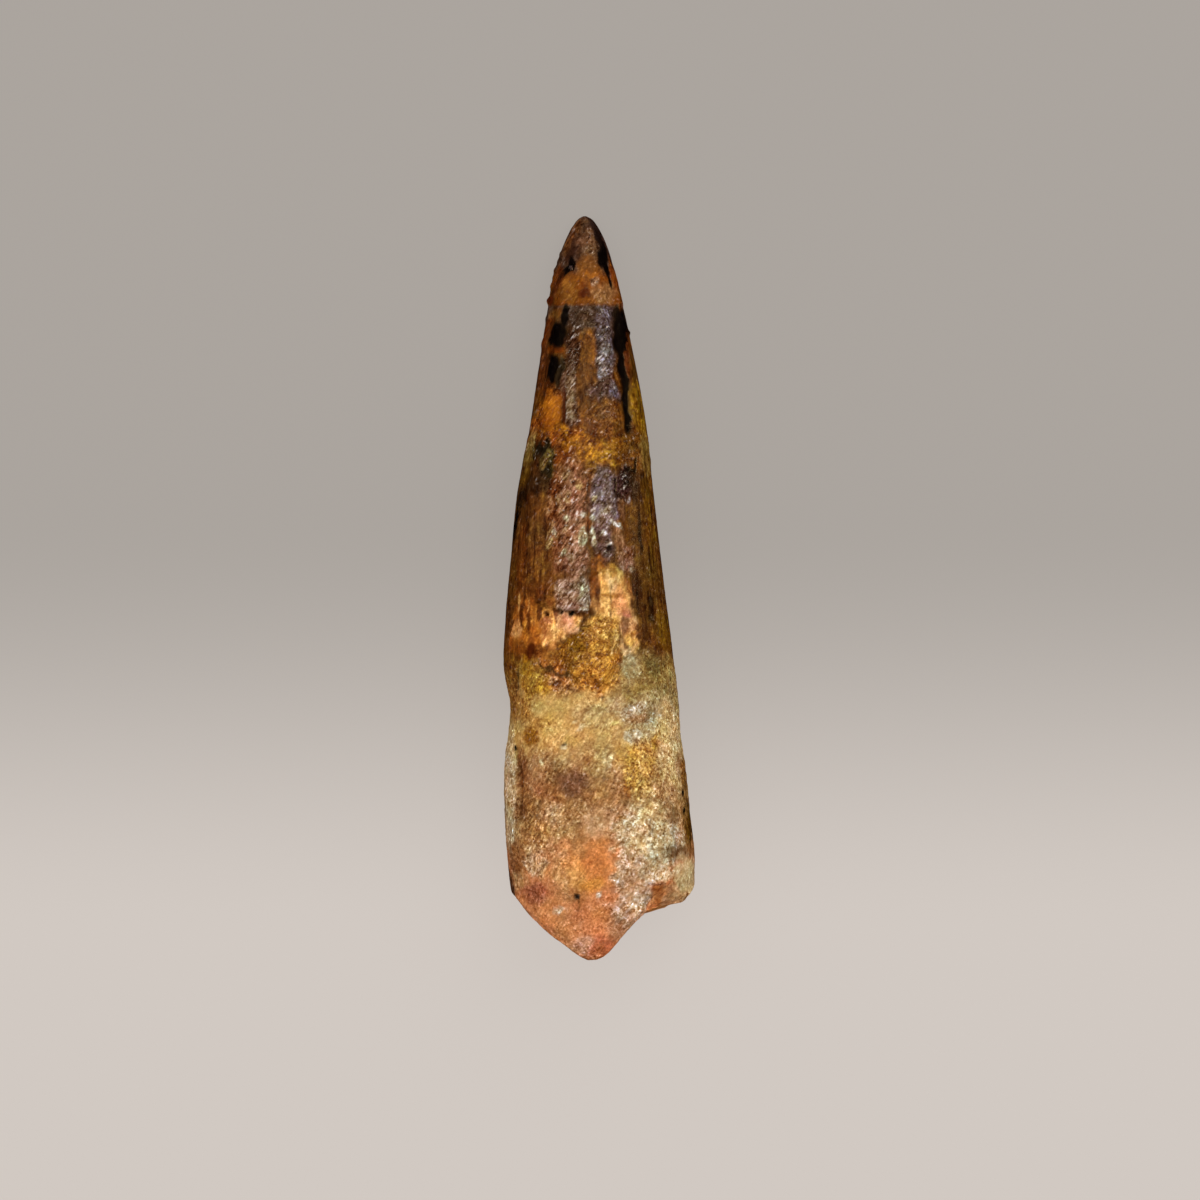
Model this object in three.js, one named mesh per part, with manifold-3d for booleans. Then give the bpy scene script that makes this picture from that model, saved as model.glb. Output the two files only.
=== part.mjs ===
// A fossil spinosaur tooth, from its worn tip to the broken end of its root, lying on one of its broad sides.
// Millimetres. +Y points to the tip, +X to the right, +Z up, and the tooth lies on the plane z = 0.
// The origin is under the middle of its length and width.

import * as THREE from 'three';
import Module from 'manifold-3d';
import { LoftGeometry } from 'three/addons/geometries/LoftGeometry.js';
import { mergeVertices } from 'three/addons/utils/BufferGeometryUtils.js';

// Driving sizes.
const TIP_Y = 47.5;
const FLUTES = 10; // low ridges that run the length of the crown, counted all the way round
const FLUTE_HEIGHT = 0.18;
const ENAMEL_THICKNESS = 0.4;
const SWELL_HEIGHT = 0.3; // the root's uneven surface
const COLOUR = 0x9c6f3c;

// How finely the surface is divided.
const COLUMNS = 56; // points round each ring
const BREAK_ZONE_RINGS = 6;
const ELLIPSOID_SIDES = 10;
const ELLIPSOID_RINGS = 6;
const MERGE_DISTANCE = 1e-5;

// Stations along the tooth: its left and right edges, its underside and its top, at a distance y along it.
// Where the underside is below z = 0, the tooth is worn flat at z = 0, and lies on that flat.
const STATIONS = [
  { y: -48, left: -10.2, right: 10.9, under: 1.6, top: 17.6 },
  { y: -42, left: -10.8, right: 11.7, under: 0.6, top: 18.9 },
  { y: -38, left: -11.4, right: 12.1, under: -0.3, top: 19.4 },
  { y: -34, left: -11.8, right: 12.1, under: -0.6, top: 19.4 },
  { y: -29, left: -12.1, right: 11.6, under: -0.7, top: 19.0 },
  { y: -22.5, left: -12.1, right: 10.9, under: -0.7, top: 18.3 },
  { y: -18.5, left: -11.6, right: 10.3, under: -0.6, top: 17.6 },
  { y: -15, left: -11.4, right: 10.1, under: -0.5, top: 17.2 },
  { y: -10.5, left: -12.2, right: 9.6, under: -0.1, top: 17.3 },
  { y: -4, left: -12.0, right: 8.8, under: 0.4, top: 17.2 },
  { y: 4, left: -11.3, right: 7.8, under: 1.0, top: 16.8 },
  { y: 12, left: -10.5, right: 6.9, under: 1.4, top: 15.9 },
  { y: 20.5, left: -8.9, right: 6.0, under: 1.4, top: 14.0 },
  { y: 28.5, left: -7.7, right: 4.6, under: 1.0, top: 11.3 },
  { y: 36.8, left: -6.4, right: 2.8, under: 0.3, top: 7.9 },
  { y: 40.9, left: -5.6, right: 1.8, under: 0.1, top: 6.2 },
  { y: 43, left: -4.9, right: 1.2, under: 0.15, top: 5.2 },
  { y: 45, left: -4.1, right: 0.4, under: 0.4, top: 4.1 },
  { y: 46.4, left: -3.3, right: -0.4, under: 0.85, top: 3.2 },
  { y: 47.2, left: -2.6, right: -1.1, under: 1.3, top: 2.5 },
  { y: TIP_Y, left: -2.1, right: -1.7, under: 1.65, top: 2.05 },
];

// How far along the tooth the broken edge lies, at an angle round it: 0 is its right edge and 90 its top.
// The edge runs out to a point on the top and is cut back to a step on the right.
const BREAK_START_Y = -34; // from here on, the rings of points lean to follow the edge
const BREAK_EDGE = [
  { angle: -180, y: -39.5 },
  { angle: -150, y: -40.3 },
  { angle: -120, y: -42.4 },
  { angle: -90, y: -42.8 },
  { angle: -60, y: -40.6 },
  { angle: -30, y: -39.2 },
  { angle: 0, y: -38.6 },
  { angle: 18, y: -40.0 },
  { angle: 46, y: -40.7 },
  { angle: 62, y: -41.5 },
  { angle: 72, y: -43.2 },
  { angle: 83, y: -45.7 },
  { angle: 90, y: -47.1 },
  { angle: 98, y: -47.5 },
  { angle: 106, y: -46.9 },
  { angle: 116, y: -45.6 },
  { angle: 131, y: -44.0 },
  { angle: 158, y: -40.6 },
  { angle: 180, y: -39.5 },
];

// The broken face slopes from its edge to this point, with a worn lip and a low boss in its middle.
const BREAK_MIDDLE = new THREE.Vector3(0.3, -43, 9.2);
const BREAK_RINGS = [0.95, 0.8, 0.55, 0.3, 0.12]; // each ring's share of the way out to the edge
const BREAK_HOLLOWNESS = 1.1; // 1 is a straight slope, and more is a bowl
const BOSS_HEIGHT = 0.5;
const BOSS_SLOPE = { from: 0.4, to: 0.15 };

// Where the enamel on the top ends, from left to right. The root's bare dentine lies lower beyond it.
const ENAMEL_EDGE = [
  { x: -13, y: -1.4 },
  { x: -8.0, y: -1.8 },
  { x: -5.4, y: -2.75 },
  { x: -1.3, y: -2.85 },
  { x: -0.9, y: 1.4 },
  { x: 0.2, y: 2.3 },
  { x: 2.9, y: 2.0 },
  { x: 4.2, y: -0.3 },
  { x: 4.9, y: -4.5 },
  { x: 6.4, y: -8.0 },
  { x: 13, y: -9.5 },
];
const ENAMEL_EDGE_BELOW_Y = -4.5;
const ENAMEL_STEP_LENGTH = 0.5;
const ENAMEL_EDGE_OFF_SIDES = { from: 0.1, to: 0.4 }; // by the sine of the angle round the section
const DENTINE_RISES_AGAIN = { from: -16, to: -10 };

// The flutes fade out at both ends of the crown, and drift round it by this many radians a millimetre.
const FLUTES_AT_ROOT = { from: -3, to: 6 };
const FLUTES_AT_TIP = { from: 44, to: 34 };
const FLUTE_DRIFT = 0.05;

// The section's outline is a superellipse: blunt at the root, and keeled left and right at the crown.
const ROOT_POWER = 0.9;
const CROWN_POWER = 1.08;
const CROWN_SECTION = { from: -25, to: 15 };
const RELIEF_OFF_SIDES = { from: 0, to: 0.5 };

// The root's swells are waves that turn a whole number of times round it, and drift along it.
const SWELLS_ON_ROOT = { from: -8, to: -20 };
const SWELL_WAVES = [
  { share: 0.45, round: 2, along: 0.55, start: 0.0 },
  { share: 0.35, round: 3, along: -0.38, start: 1.1 },
  { share: 0.3, round: 5, along: 0.8, start: 2.3 },
];

// Rings of points along the tooth, in bands that are close together at the tip and at the enamel's edge.
const RING_BANDS = [
  { from: TIP_Y, to: 46.9, rings: 2 },
  { from: 46.9, to: 44.5, rings: 4 },
  { from: 44.5, to: -2.5, rings: 30 },
  { from: -2.5, to: -3.1, rings: 1 },
  { from: -3.1, to: BREAK_START_Y, rings: 21 },
];

// Lumps that stand proud of the top, each a low dome.
const LUMP_SHOULDER = { from: 1, to: 0.55 };
const LUMPS_OFF_SIDES = { from: 0, to: 0.3 };
const LUMPS = [
  { x: -1.1, y: -8.6, halfWidth: 4.0, halfLength: 4.8, height: 0.8 }, // sandstone stuck to the tooth
  { x: 1.4, y: -6.2, halfWidth: 1.7, halfLength: 1.9, height: 0.35 },
  { x: -1.8, y: -6.6, halfWidth: 1.5, halfLength: 1.7, height: 0.45 },
  { x: -3.2, y: -10.0, halfWidth: 1.6, halfLength: 1.8, height: 0.4 },
  { x: 0.4, y: -10.6, halfWidth: 1.9, halfLength: 2.2, height: 0.4 },
  { x: 6.2, y: -31.4, halfWidth: 4.0, halfLength: 5.2, height: 0.5 }, // pale crust beside the step
  { x: 4.2, y: -35.2, halfWidth: 2.2, halfLength: 2.4, height: 0.4 },
  { x: 5.2, y: -30.4, halfWidth: 1.6, halfLength: 1.8, height: 0.35 },
  { x: 8.4, y: -33.4, halfWidth: 1.6, halfLength: 2.4, height: 0.35 },
  { x: 8.0, y: -28.4, halfWidth: 1.7, halfLength: 1.9, height: 0.35 },
  { x: -10.0, y: -32.6, halfWidth: 1.5, halfLength: 3.8, height: 0.35 },
];

// Hollows cut into the top, each an ellipsoid with its middle a little above or below the surface.
const HOLLOWS = [
  { x: 8.0, y: -40.4, rise: 1.0, halfWidth: 2.8, halfLength: 2.6, halfDepth: 2.1 }, // scoop in the step
  { x: -3.0, y: -39.4, rise: 0, halfWidth: 0.55, halfLength: 0.5, halfDepth: 1.3 }, // round hole
  { x: 1.35, y: 5.0, rise: 0, halfWidth: 0.45, halfLength: 0.45, halfDepth: 0.6 }, // pit in the enamel
  { x: -3.5, y: -3.2, rise: -0.1, halfWidth: 0.8, halfLength: 0.45, halfDepth: 0.5 }, // pits under the ledge
  { x: -6.8, y: -3.6, rise: -0.1, halfWidth: 0.5, halfLength: 0.45, halfDepth: 0.5 },
  { x: -10.2, y: -25.4, rise: 0.3, halfWidth: 0.55, halfLength: 4.4, halfDepth: 0.8 }, // groove on the left
  { x: 11.3, y: -25.8, rise: 0, halfWidth: 0.6, halfLength: 0.8, halfDepth: 1.2 }, // notch in the right edge
];

// The cutting edge down the tip's left side is a row of beads that grow away from the tip.
const EDGE_BEADS = 7;
const EDGE_BEADS_FROM_Y = 43.4;
const EDGE_BEADS_TO_Y = 36.9;
const SMALLEST_BEAD = 0.3;
const LARGEST_BEAD = 0.5;
const RIGHT_BEAD_Y = 32.7;
const RIGHT_BEAD_RADIUS = 0.45;

const wasm = await Module();
wasm.setup();

// A smooth curve through a list of points, as a function of one of their values.
function smoothCurve(points, along, value) {
  const curve = new THREE.CubicInterpolant(points.map((p) => p[along]), points.map((p) => p[value]), 1);
  return (place) => curve.evaluate(place)[0];
}

const leftAt = smoothCurve(STATIONS, 'y', 'left');
const rightAt = smoothCurve(STATIONS, 'y', 'right');
const underAt = smoothCurve(STATIONS, 'y', 'under');
const topAt = smoothCurve(STATIONS, 'y', 'top');
const breakEdgeAt = smoothCurve(BREAK_EDGE, 'angle', 'y');

// 0 at one end of a range and past it, 1 at the other end and past it, and smooth between.
function ramp(value, range) {
  return THREE.MathUtils.smoothstep((value - range.from) / (range.to - range.from), 0, 1);
}

// The enamel's edge as straight stretches from left to right.
function enamelEdgeAt(x) {
  const next = Math.max(1, ENAMEL_EDGE.findIndex((point) => point.x >= x));
  const a = ENAMEL_EDGE[next - 1];
  const b = ENAMEL_EDGE[next];
  return THREE.MathUtils.mapLinear(x, a.x, b.x, a.y, b.y);
}

function fluteHeight(angle, y) {
  const strength = ramp(y, FLUTES_AT_ROOT) * ramp(y, FLUTES_AT_TIP);
  return FLUTE_HEIGHT * strength * Math.cos(FLUTES * angle + FLUTE_DRIFT * y);
}

// How far the dentine beyond the enamel's edge lies below the enamel.
function dentineDepth(x, y, sin) {
  const edge = sin > 0 ? enamelEdgeAt(x) : ENAMEL_EDGE_BELOW_Y;
  const beyondEdge = ramp(y, { from: edge, to: edge - ENAMEL_STEP_LENGTH });
  const strength = ramp(Math.abs(sin), ENAMEL_EDGE_OFF_SIDES) * ramp(y, DENTINE_RISES_AGAIN);
  return ENAMEL_THICKNESS * strength * beyondEdge;
}

function swellHeight(angle, y) {
  let height = 0;
  for (const wave of SWELL_WAVES) {
    height += wave.share * Math.sin(wave.round * angle + wave.along * y + wave.start);
  }
  return SWELL_HEIGHT * ramp(y, SWELLS_ON_ROOT) * height;
}

function lumpHeight(x, y, sin) {
  let height = 0;
  for (const lump of LUMPS) {
    const reach = Math.hypot((x - lump.x) / lump.halfWidth, (y - lump.y) / lump.halfLength);
    height += lump.height * ramp(reach, LUMP_SHOULDER);
  }
  return height * ramp(sin, LUMPS_OFF_SIDES);
}

// A point on the side of the tooth, at an angle round its section.
function sidePoint(angle, y) {
  const cos = Math.cos(angle);
  const sin = Math.sin(angle);
  const power = THREE.MathUtils.lerp(ROOT_POWER, CROWN_POWER, ramp(y, CROWN_SECTION));
  const across = Math.sign(cos) * Math.abs(cos) ** power;
  const upward = Math.sign(sin) * Math.abs(sin) ** power;
  const middleX = (leftAt(y) + rightAt(y)) / 2;
  const halfWidth = (rightAt(y) - leftAt(y)) / 2;
  const middleZ = (underAt(y) + topAt(y)) / 2;
  const halfDepth = (topAt(y) - underAt(y)) / 2;
  const x = middleX + halfWidth * across;
  const waves = ramp(Math.abs(sin), RELIEF_OFF_SIDES) * (fluteHeight(angle, y) + swellHeight(angle, y));
  const relief = waves + lumpHeight(x, y, sin) - dentineDepth(x, y, sin);
  const z = middleZ + (halfDepth + relief) * upward;
  return new THREE.Vector3(middleX + (halfWidth + relief) * across, y, Math.max(0, z));
}

// The angle round the section at which its top side has a given x.
function topAngle(x, y) {
  let low = 0;
  let high = Math.PI;
  for (let halving = 0; halving < 20; halving++) {
    const angle = (low + high) / 2;
    if (sidePoint(angle, y).x > x) low = angle;
    else high = angle;
  }
  return (low + high) / 2;
}

function topPoint(x, y) {
  return sidePoint(topAngle(x, y), y);
}

function ringAngles() {
  return Array.from({ length: COLUMNS }, (_, i) => (2 * Math.PI * i) / COLUMNS);
}

// The y of the broken edge at an angle in radians.
function brokenY(angle) {
  const degrees = THREE.MathUtils.radToDeg(angle);
  return breakEdgeAt(degrees > 180 ? degrees - 360 : degrees);
}

function sideRings() {
  const rings = [];
  for (const band of RING_BANDS) {
    for (let i = 0; i < band.rings; i++) {
      const y = THREE.MathUtils.lerp(band.from, band.to, i / band.rings);
      rings.push(ringAngles().map((angle) => sidePoint(angle, y)));
    }
  }
  for (let i = 0; i <= BREAK_ZONE_RINGS; i++) {
    const share = i / BREAK_ZONE_RINGS;
    const place = (angle) => THREE.MathUtils.lerp(BREAK_START_Y, brokenY(angle), share);
    rings.push(ringAngles().map((angle) => sidePoint(angle, place(angle))));
  }
  return rings;
}

// Rings across the broken face.
function breakRings(edge) {
  return BREAK_RINGS.map((share) => edge.map((point) => {
    const inner = BREAK_MIDDLE.clone().lerp(point, share);
    inner.y = THREE.MathUtils.lerp(BREAK_MIDDLE.y, point.y, share ** BREAK_HOLLOWNESS);
    inner.y -= BOSS_HEIGHT * ramp(share, BOSS_SLOPE);
    return inner;
  }));
}

function toothBody() {
  const rings = sideRings();
  const all = rings.concat(breakRings(rings[rings.length - 1]));
  return new LoftGeometry(all, { capStart: true, capEnd: true });
}

function toSolid(shape) {
  const bare = new THREE.BufferGeometry();
  bare.setAttribute('position', shape.getAttribute('position'));
  bare.setIndex(shape.getIndex());
  const merged = mergeVertices(bare, MERGE_DISTANCE);
  const vertProperties = new Float32Array(merged.getAttribute('position').array);
  const triVerts = new Uint32Array(merged.getIndex().array);
  return new wasm.Manifold(new wasm.Mesh({ numProp: 3, vertProperties, triVerts }));
}

function toGeometry(solid) {
  const mesh = solid.getMesh();
  const geometry = new THREE.BufferGeometry();
  geometry.setAttribute('position', new THREE.BufferAttribute(mesh.vertProperties, 3));
  geometry.setIndex(new THREE.BufferAttribute(mesh.triVerts, 1));
  geometry.computeVertexNormals();
  return geometry;
}

function ellipsoid(middle, halfWidth, halfLength, halfDepth) {
  const shape = new THREE.SphereGeometry(1, ELLIPSOID_SIDES, ELLIPSOID_RINGS);
  shape.scale(halfWidth, halfLength, halfDepth);
  shape.translate(middle.x, middle.y, middle.z);
  return toSolid(shape);
}

function cutHollows(solid) {
  let result = solid;
  for (const hollow of HOLLOWS) {
    const middle = topPoint(hollow.x, hollow.y);
    middle.z += hollow.rise;
    result = result.subtract(ellipsoid(middle, hollow.halfWidth, hollow.halfLength, hollow.halfDepth));
  }
  return result;
}

function bead(angle, y, radius) {
  return ellipsoid(sidePoint(angle, y), radius, radius, radius);
}

function addEdgeBeads(solid) {
  let result = solid.add(bead(0, RIGHT_BEAD_Y, RIGHT_BEAD_RADIUS));
  for (let i = 0; i < EDGE_BEADS; i++) {
    const share = i / (EDGE_BEADS - 1);
    const y = THREE.MathUtils.lerp(EDGE_BEADS_FROM_Y, EDGE_BEADS_TO_Y, share);
    const radius = THREE.MathUtils.lerp(SMALLEST_BEAD, LARGEST_BEAD, share);
    result = result.add(bead(Math.PI, y, radius));
  }
  return result;
}

function makeTooth() {
  const solid = addEdgeBeads(cutHollows(toSolid(toothBody())));
  const material = new THREE.MeshStandardMaterial({ color: COLOUR, roughness: 0.5, metalness: 0 });
  const mesh = new THREE.Mesh(toGeometry(solid), material);
  mesh.name = 'tooth';
  return mesh;
}

const part = new THREE.Group();
part.add(makeTooth());

export default part;
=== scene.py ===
import math
from collections import namedtuple

import bpy
import numpy as np
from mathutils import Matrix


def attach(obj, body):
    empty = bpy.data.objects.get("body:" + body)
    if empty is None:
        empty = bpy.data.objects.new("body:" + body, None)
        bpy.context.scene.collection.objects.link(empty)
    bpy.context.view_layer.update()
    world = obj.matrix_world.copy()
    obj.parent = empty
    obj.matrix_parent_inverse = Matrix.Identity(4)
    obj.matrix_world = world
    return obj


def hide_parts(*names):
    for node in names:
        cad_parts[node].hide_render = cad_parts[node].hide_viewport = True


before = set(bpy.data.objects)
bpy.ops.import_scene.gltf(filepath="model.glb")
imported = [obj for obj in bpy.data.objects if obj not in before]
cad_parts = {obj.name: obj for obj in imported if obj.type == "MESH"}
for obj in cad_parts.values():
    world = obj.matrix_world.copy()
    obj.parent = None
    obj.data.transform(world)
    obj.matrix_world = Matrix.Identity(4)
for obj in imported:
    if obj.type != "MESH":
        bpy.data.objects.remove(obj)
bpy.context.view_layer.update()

# A fossil spinosaur tooth, seen from straight above as it lies on a pale floor.
# Shapes are in millimetres, as in the part's own source, and become metres when a mesh is made.
# Markings are placed by the picture frame: 1200 pixels square, x to the right and y down.
MM = 0.001
PICTURE_PX = 1200
PIXEL_MM = 0.12769
CAMERA_X, CAMERA_Y = 0.064, -1.69
CAMERA_LEVEL = 9.5  # the height where a picture pixel covers PIXEL_MM
CAMERA_DISTANCE = 2000  # from that height
SIDE, ALONG, UP = 0, 1, 2  # the axes

# ---- the form, as in the part's source, with smaller and rounder hollows ---------------------------------

TIP_Y = 47.5
FLUTES = 10  # low ridges that run the length of the crown, counted all the way round
FLUTE_HEIGHT = 0.18
ENAMEL_THICKNESS = 0.4
SWELL_HEIGHT = 0.3  # the root's uneven surface

# Distance along the tooth, then its left edge, right edge, underside and top. Where the underside is below 0,
# the tooth is worn flat at 0, and lies on that flat.
STATIONS = np.array([
    (-48, -10.2, 10.9, 1.6, 17.6),
    (-42, -10.8, 11.7, 0.6, 18.9),
    (-38, -11.4, 12.1, -0.3, 19.4),
    (-34, -11.8, 12.1, -0.6, 19.4),
    (-29, -12.1, 11.6, -0.7, 19.0),
    (-22.5, -12.1, 10.9, -0.7, 18.3),
    (-18.5, -11.6, 10.3, -0.6, 17.6),
    (-15, -11.4, 10.1, -0.5, 17.2),
    (-10.5, -12.2, 9.6, -0.1, 17.3),
    (-4, -12.0, 8.8, 0.4, 17.2),
    (4, -11.3, 7.8, 1.0, 16.8),
    (12, -10.5, 6.9, 1.4, 15.9),
    (20.5, -8.9, 6.0, 1.4, 14.0),
    (28.5, -7.7, 4.6, 1.0, 11.3),
    (36.8, -6.4, 2.8, 0.3, 7.9),
    (40.9, -5.6, 1.8, 0.1, 6.2),
    (43, -4.9, 1.2, 0.15, 5.2),
    (45, -4.1, 0.4, 0.4, 4.1),
    (46.4, -3.3, -0.4, 0.85, 3.2),
    (47.2, -2.6, -1.1, 1.3, 2.5),
    (TIP_Y, -2.1, -1.7, 1.65, 2.05),
])

# The broken edge: an angle round the tooth, where 90 is its top, and how far along the edge lies there.
BREAK_START_Y = -34
BREAK_EDGE = np.array([
    (-180, -39.5), (-150, -40.3), (-120, -42.4), (-90, -42.8), (-60, -40.6), (-30, -39.2), (0, -38.6),
    (18, -40.0), (46, -40.7), (62, -41.5), (72, -43.2), (83, -45.7), (90, -47.1), (98, -47.5),
    (106, -46.9), (116, -45.6), (131, -44.0), (158, -40.6), (180, -39.5),
])

# The broken face slopes from its edge to this point, with a rounded lip and a low boss in its middle.
BREAK_MIDDLE = np.array((0.3, -43, 9.2))
BREAK_HOLLOWNESS = 1.1  # 1 is a straight slope, and more is a bowl
LIP_DEPTH = 0.5  # how far the lip is rounded inwards
LIP_ZONE = (0.86, 1.0)  # shares of the way from BREAK_START_Y to the broken edge
BOSS_HEIGHT = 0.5
BOSS_SLOPE = (0.4, 0.15)  # shares of the way out to the edge

# Where the enamel on the top ends, in the picture, from left to right. The dentine lies lower beyond it.
ENAMEL_EDGE_PX = np.array([
    (500, 600), (514, 603), (522, 606), (538, 603), (548, 608), (556, 610), (590, 611), (590.6, 578),
    (594, 572), (602, 570), (616, 569), (622, 577), (629, 590), (634, 606), (636, 622), (641, 640),
    (650, 652), (668, 660), (700, 664),
])
ENAMEL_STEP_PX = 2.5
ENAMEL_STEP_BELOW = (-4.5, -5)  # distances along the tooth, on its underside
ENAMEL_EDGE_OFF_SIDES = (0.1, 0.4)  # by the sine of the angle round the section
DENTINE_RISES_AGAIN = (-16, -10)

# The flutes fade out at both ends of the crown, and drift round it by this many radians a millimetre.
FLUTES_AT_ROOT = (-3, 6)
FLUTES_AT_TIP = (44, 34)
FLUTE_DRIFT = 0.05

# The section's outline is a superellipse: blunt at the root, and keeled left and right at the crown.
ROOT_POWER = 0.9
CROWN_EXTRA_POWER = 0.18
CROWN_SECTION = (-25, 15)
RELIEF_OFF_SIDES = (0, 0.5)

# The root's swells are waves that turn a whole number of times round it, and drift along it.
SWELLS_ON_ROOT = (-8, -20)
Wave = namedtuple("Wave", "share round along start")
SWELL_WAVES = (Wave(0.45, 2, 0.55, 0.0), Wave(0.35, 3, -0.38, 1.1), Wave(0.3, 5, 0.8, 2.3))

# Lumps that stand proud of the top, each a low dome.
LUMP_SHOULDER = (1, 0.55)
LUMPS_OFF_SIDES = (0, 0.3)
Lump = namedtuple("Lump", "x y half_width half_length height")
LUMPS = (
    Lump(-1.1, -8.6, 4.0, 4.8, 0.8),  # sandstone stuck to the tooth
    Lump(1.4, -6.2, 1.7, 1.9, 0.35),
    Lump(-1.8, -6.6, 1.5, 1.7, 0.45),
    Lump(-3.2, -10.0, 1.6, 1.8, 0.4),
    Lump(0.4, -10.6, 1.9, 2.2, 0.4),
    Lump(6.2, -31.4, 4.0, 5.2, 0.5),  # pale crust
    Lump(4.2, -35.2, 2.2, 2.4, 0.4),
    Lump(5.2, -30.4, 1.6, 1.8, 0.35),
    Lump(8.4, -33.4, 1.6, 2.4, 0.35),
    Lump(8.0, -28.4, 1.7, 1.9, 0.35),
    Lump(-10.0, -32.6, 1.5, 3.8, 0.35),
)

HOLLOW_SHOULDER = (1.05, 0.35)
HOLLOWS_ABOVE = -0.3  # by the sine of the angle round the section
Hollow = namedtuple("Hollow", "x y half_width half_length depth")
HOLLOWS = (
    Hollow(8.0, -40.4, 2.5, 2.3, 1.1),  # scoop in the broken step
    Hollow(-3.0, -39.4, 0.42, 0.38, 0.9),  # round hole
    Hollow(1.35, 5.0, 0.45, 0.45, 0.6),  # pit in the enamel
    Hollow(-3.5, -3.2, 0.7, 0.45, 0.5),  # pits under the enamel's ledge
    Hollow(-6.8, -3.6, 0.45, 0.4, 0.4),
    Hollow(-5.0, -3.2, 0.5, 0.35, 0.35),
    Hollow(-10.2, -25.4, 0.5, 4.2, 0.55),  # groove down the left of the root
)


def ramp(value, start, end):
    """0 at the start and past it, 1 at the end and past it, and smooth between."""
    share = np.clip((value - start) / (end - start), 0, 1)
    return share * share * (3 - 2 * share)


def smooth_curve(place, table, column):
    """The value in a column at places between the table's rows, on a smooth curve through all of them."""
    at, values = table[:, 0], table[:, column]
    slopes = np.diff(values) / np.diff(at)
    tangents = np.concatenate([slopes[:1], (slopes[1:] + slopes[:-1]) / 2, slopes[-1:]])
    i = np.clip(np.searchsorted(at, place) - 1, 0, len(at) - 2)
    gap = at[i + 1] - at[i]
    t = (place - at[i]) / gap
    return (
        (1 + 2 * t) * (1 - t) ** 2 * values[i]
        + t * (1 - t) ** 2 * gap * tangents[i]
        + t * t * (3 - 2 * t) * values[i + 1]
        + t * t * (t - 1) * gap * tangents[i + 1]
    )


def to_picture(x, y, z=CAMERA_LEVEL):
    """Where a point of the tooth is in the picture, in pixels."""
    nearness = CAMERA_DISTANCE / (CAMERA_DISTANCE + CAMERA_LEVEL - z) / PIXEL_MM
    return PICTURE_PX / 2 + (x - CAMERA_X) * nearness, PICTURE_PX / 2 - (y - CAMERA_Y) * nearness


def reach(form, x, y):
    """How far points are from the middle of a lump or hollow, where 1 is its edge."""
    return np.hypot((x - form.x) / form.half_width, (y - form.y) / form.half_length)


def flute_height(angle, y):
    ridges = np.cos(FLUTES * angle + FLUTE_DRIFT * y)
    return FLUTE_HEIGHT * ramp(y, *FLUTES_AT_ROOT) * ramp(y, *FLUTES_AT_TIP) * ridges


def swell_height(angle, y):
    waves = sum(wave.share * np.sin(wave.round * angle + wave.along * y + wave.start) for wave in SWELL_WAVES)
    return waves * SWELL_HEIGHT * ramp(y, *SWELLS_ON_ROOT)


def lump_height(x, y, sin):
    height = sum(lump.height * ramp(reach(lump, x, y), *LUMP_SHOULDER) for lump in LUMPS)
    return height * ramp(sin, *LUMPS_OFF_SIDES)


def dentine_depth(x, y, sin, push):
    """How far the dentine beyond the enamel's edge lies below the enamel, with that edge pushed about."""
    px, py = to_picture(x + push[0], y + push[1])
    edge_px = np.interp(px, ENAMEL_EDGE_PX[:, 0], ENAMEL_EDGE_PX[:, 1])
    beyond_edge = np.where(sin > 0, ramp(py, edge_px, edge_px + ENAMEL_STEP_PX), ramp(y, *ENAMEL_STEP_BELOW))
    depth = ENAMEL_THICKNESS * ramp(np.abs(sin), *ENAMEL_EDGE_OFF_SIDES) * ramp(y, *DENTINE_RISES_AGAIN)
    return depth * beyond_edge


def base_form(angle, y, push=(0, 0)):
    """Points on the side of the tooth at angles round it and distances along it, as its source has them."""
    cos, sin = np.cos(angle), np.sin(angle)
    power = ROOT_POWER + CROWN_EXTRA_POWER * ramp(y, *CROWN_SECTION)
    across = np.sign(cos) * np.abs(cos) ** power
    upward = np.sign(sin) * np.abs(sin) ** power
    left, right, under, top = (smooth_curve(y, STATIONS, column) for column in (1, 2, 3, 4))
    middle_x, half_width = (left + right) / 2, (right - left) / 2
    middle_z, half_depth = (under + top) / 2, (top - under) / 2
    x = middle_x + half_width * across
    waves = ramp(np.abs(sin), *RELIEF_OFF_SIDES) * (flute_height(angle, y) + swell_height(angle, y))
    relief = waves + lump_height(x, y, sin) - dentine_depth(x, y, sin, push)
    return np.stack([
        middle_x + (half_width + relief) * across,
        y,
        middle_z + (half_depth + relief) * upward,
    ], axis=-1)


# ---- noise -----------------------------------------------------------------------------------------------

def lattice(i, j, k, seed):
    """A fixed random value from -1 to 1 for each whole-numbered point."""
    h = i * np.uint64(374761393) + j * np.uint64(668265263) + k * np.uint64(2246822519)
    h = h + np.uint64(seed) * np.uint64(3266489917)
    h = (h ^ (h >> np.uint64(13))) * np.uint64(1274126177)
    h = (h ^ (h >> np.uint64(16))) & np.uint64(0xFFFFFF)
    return h.astype(float) / 0x7FFFFF - 1


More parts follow.
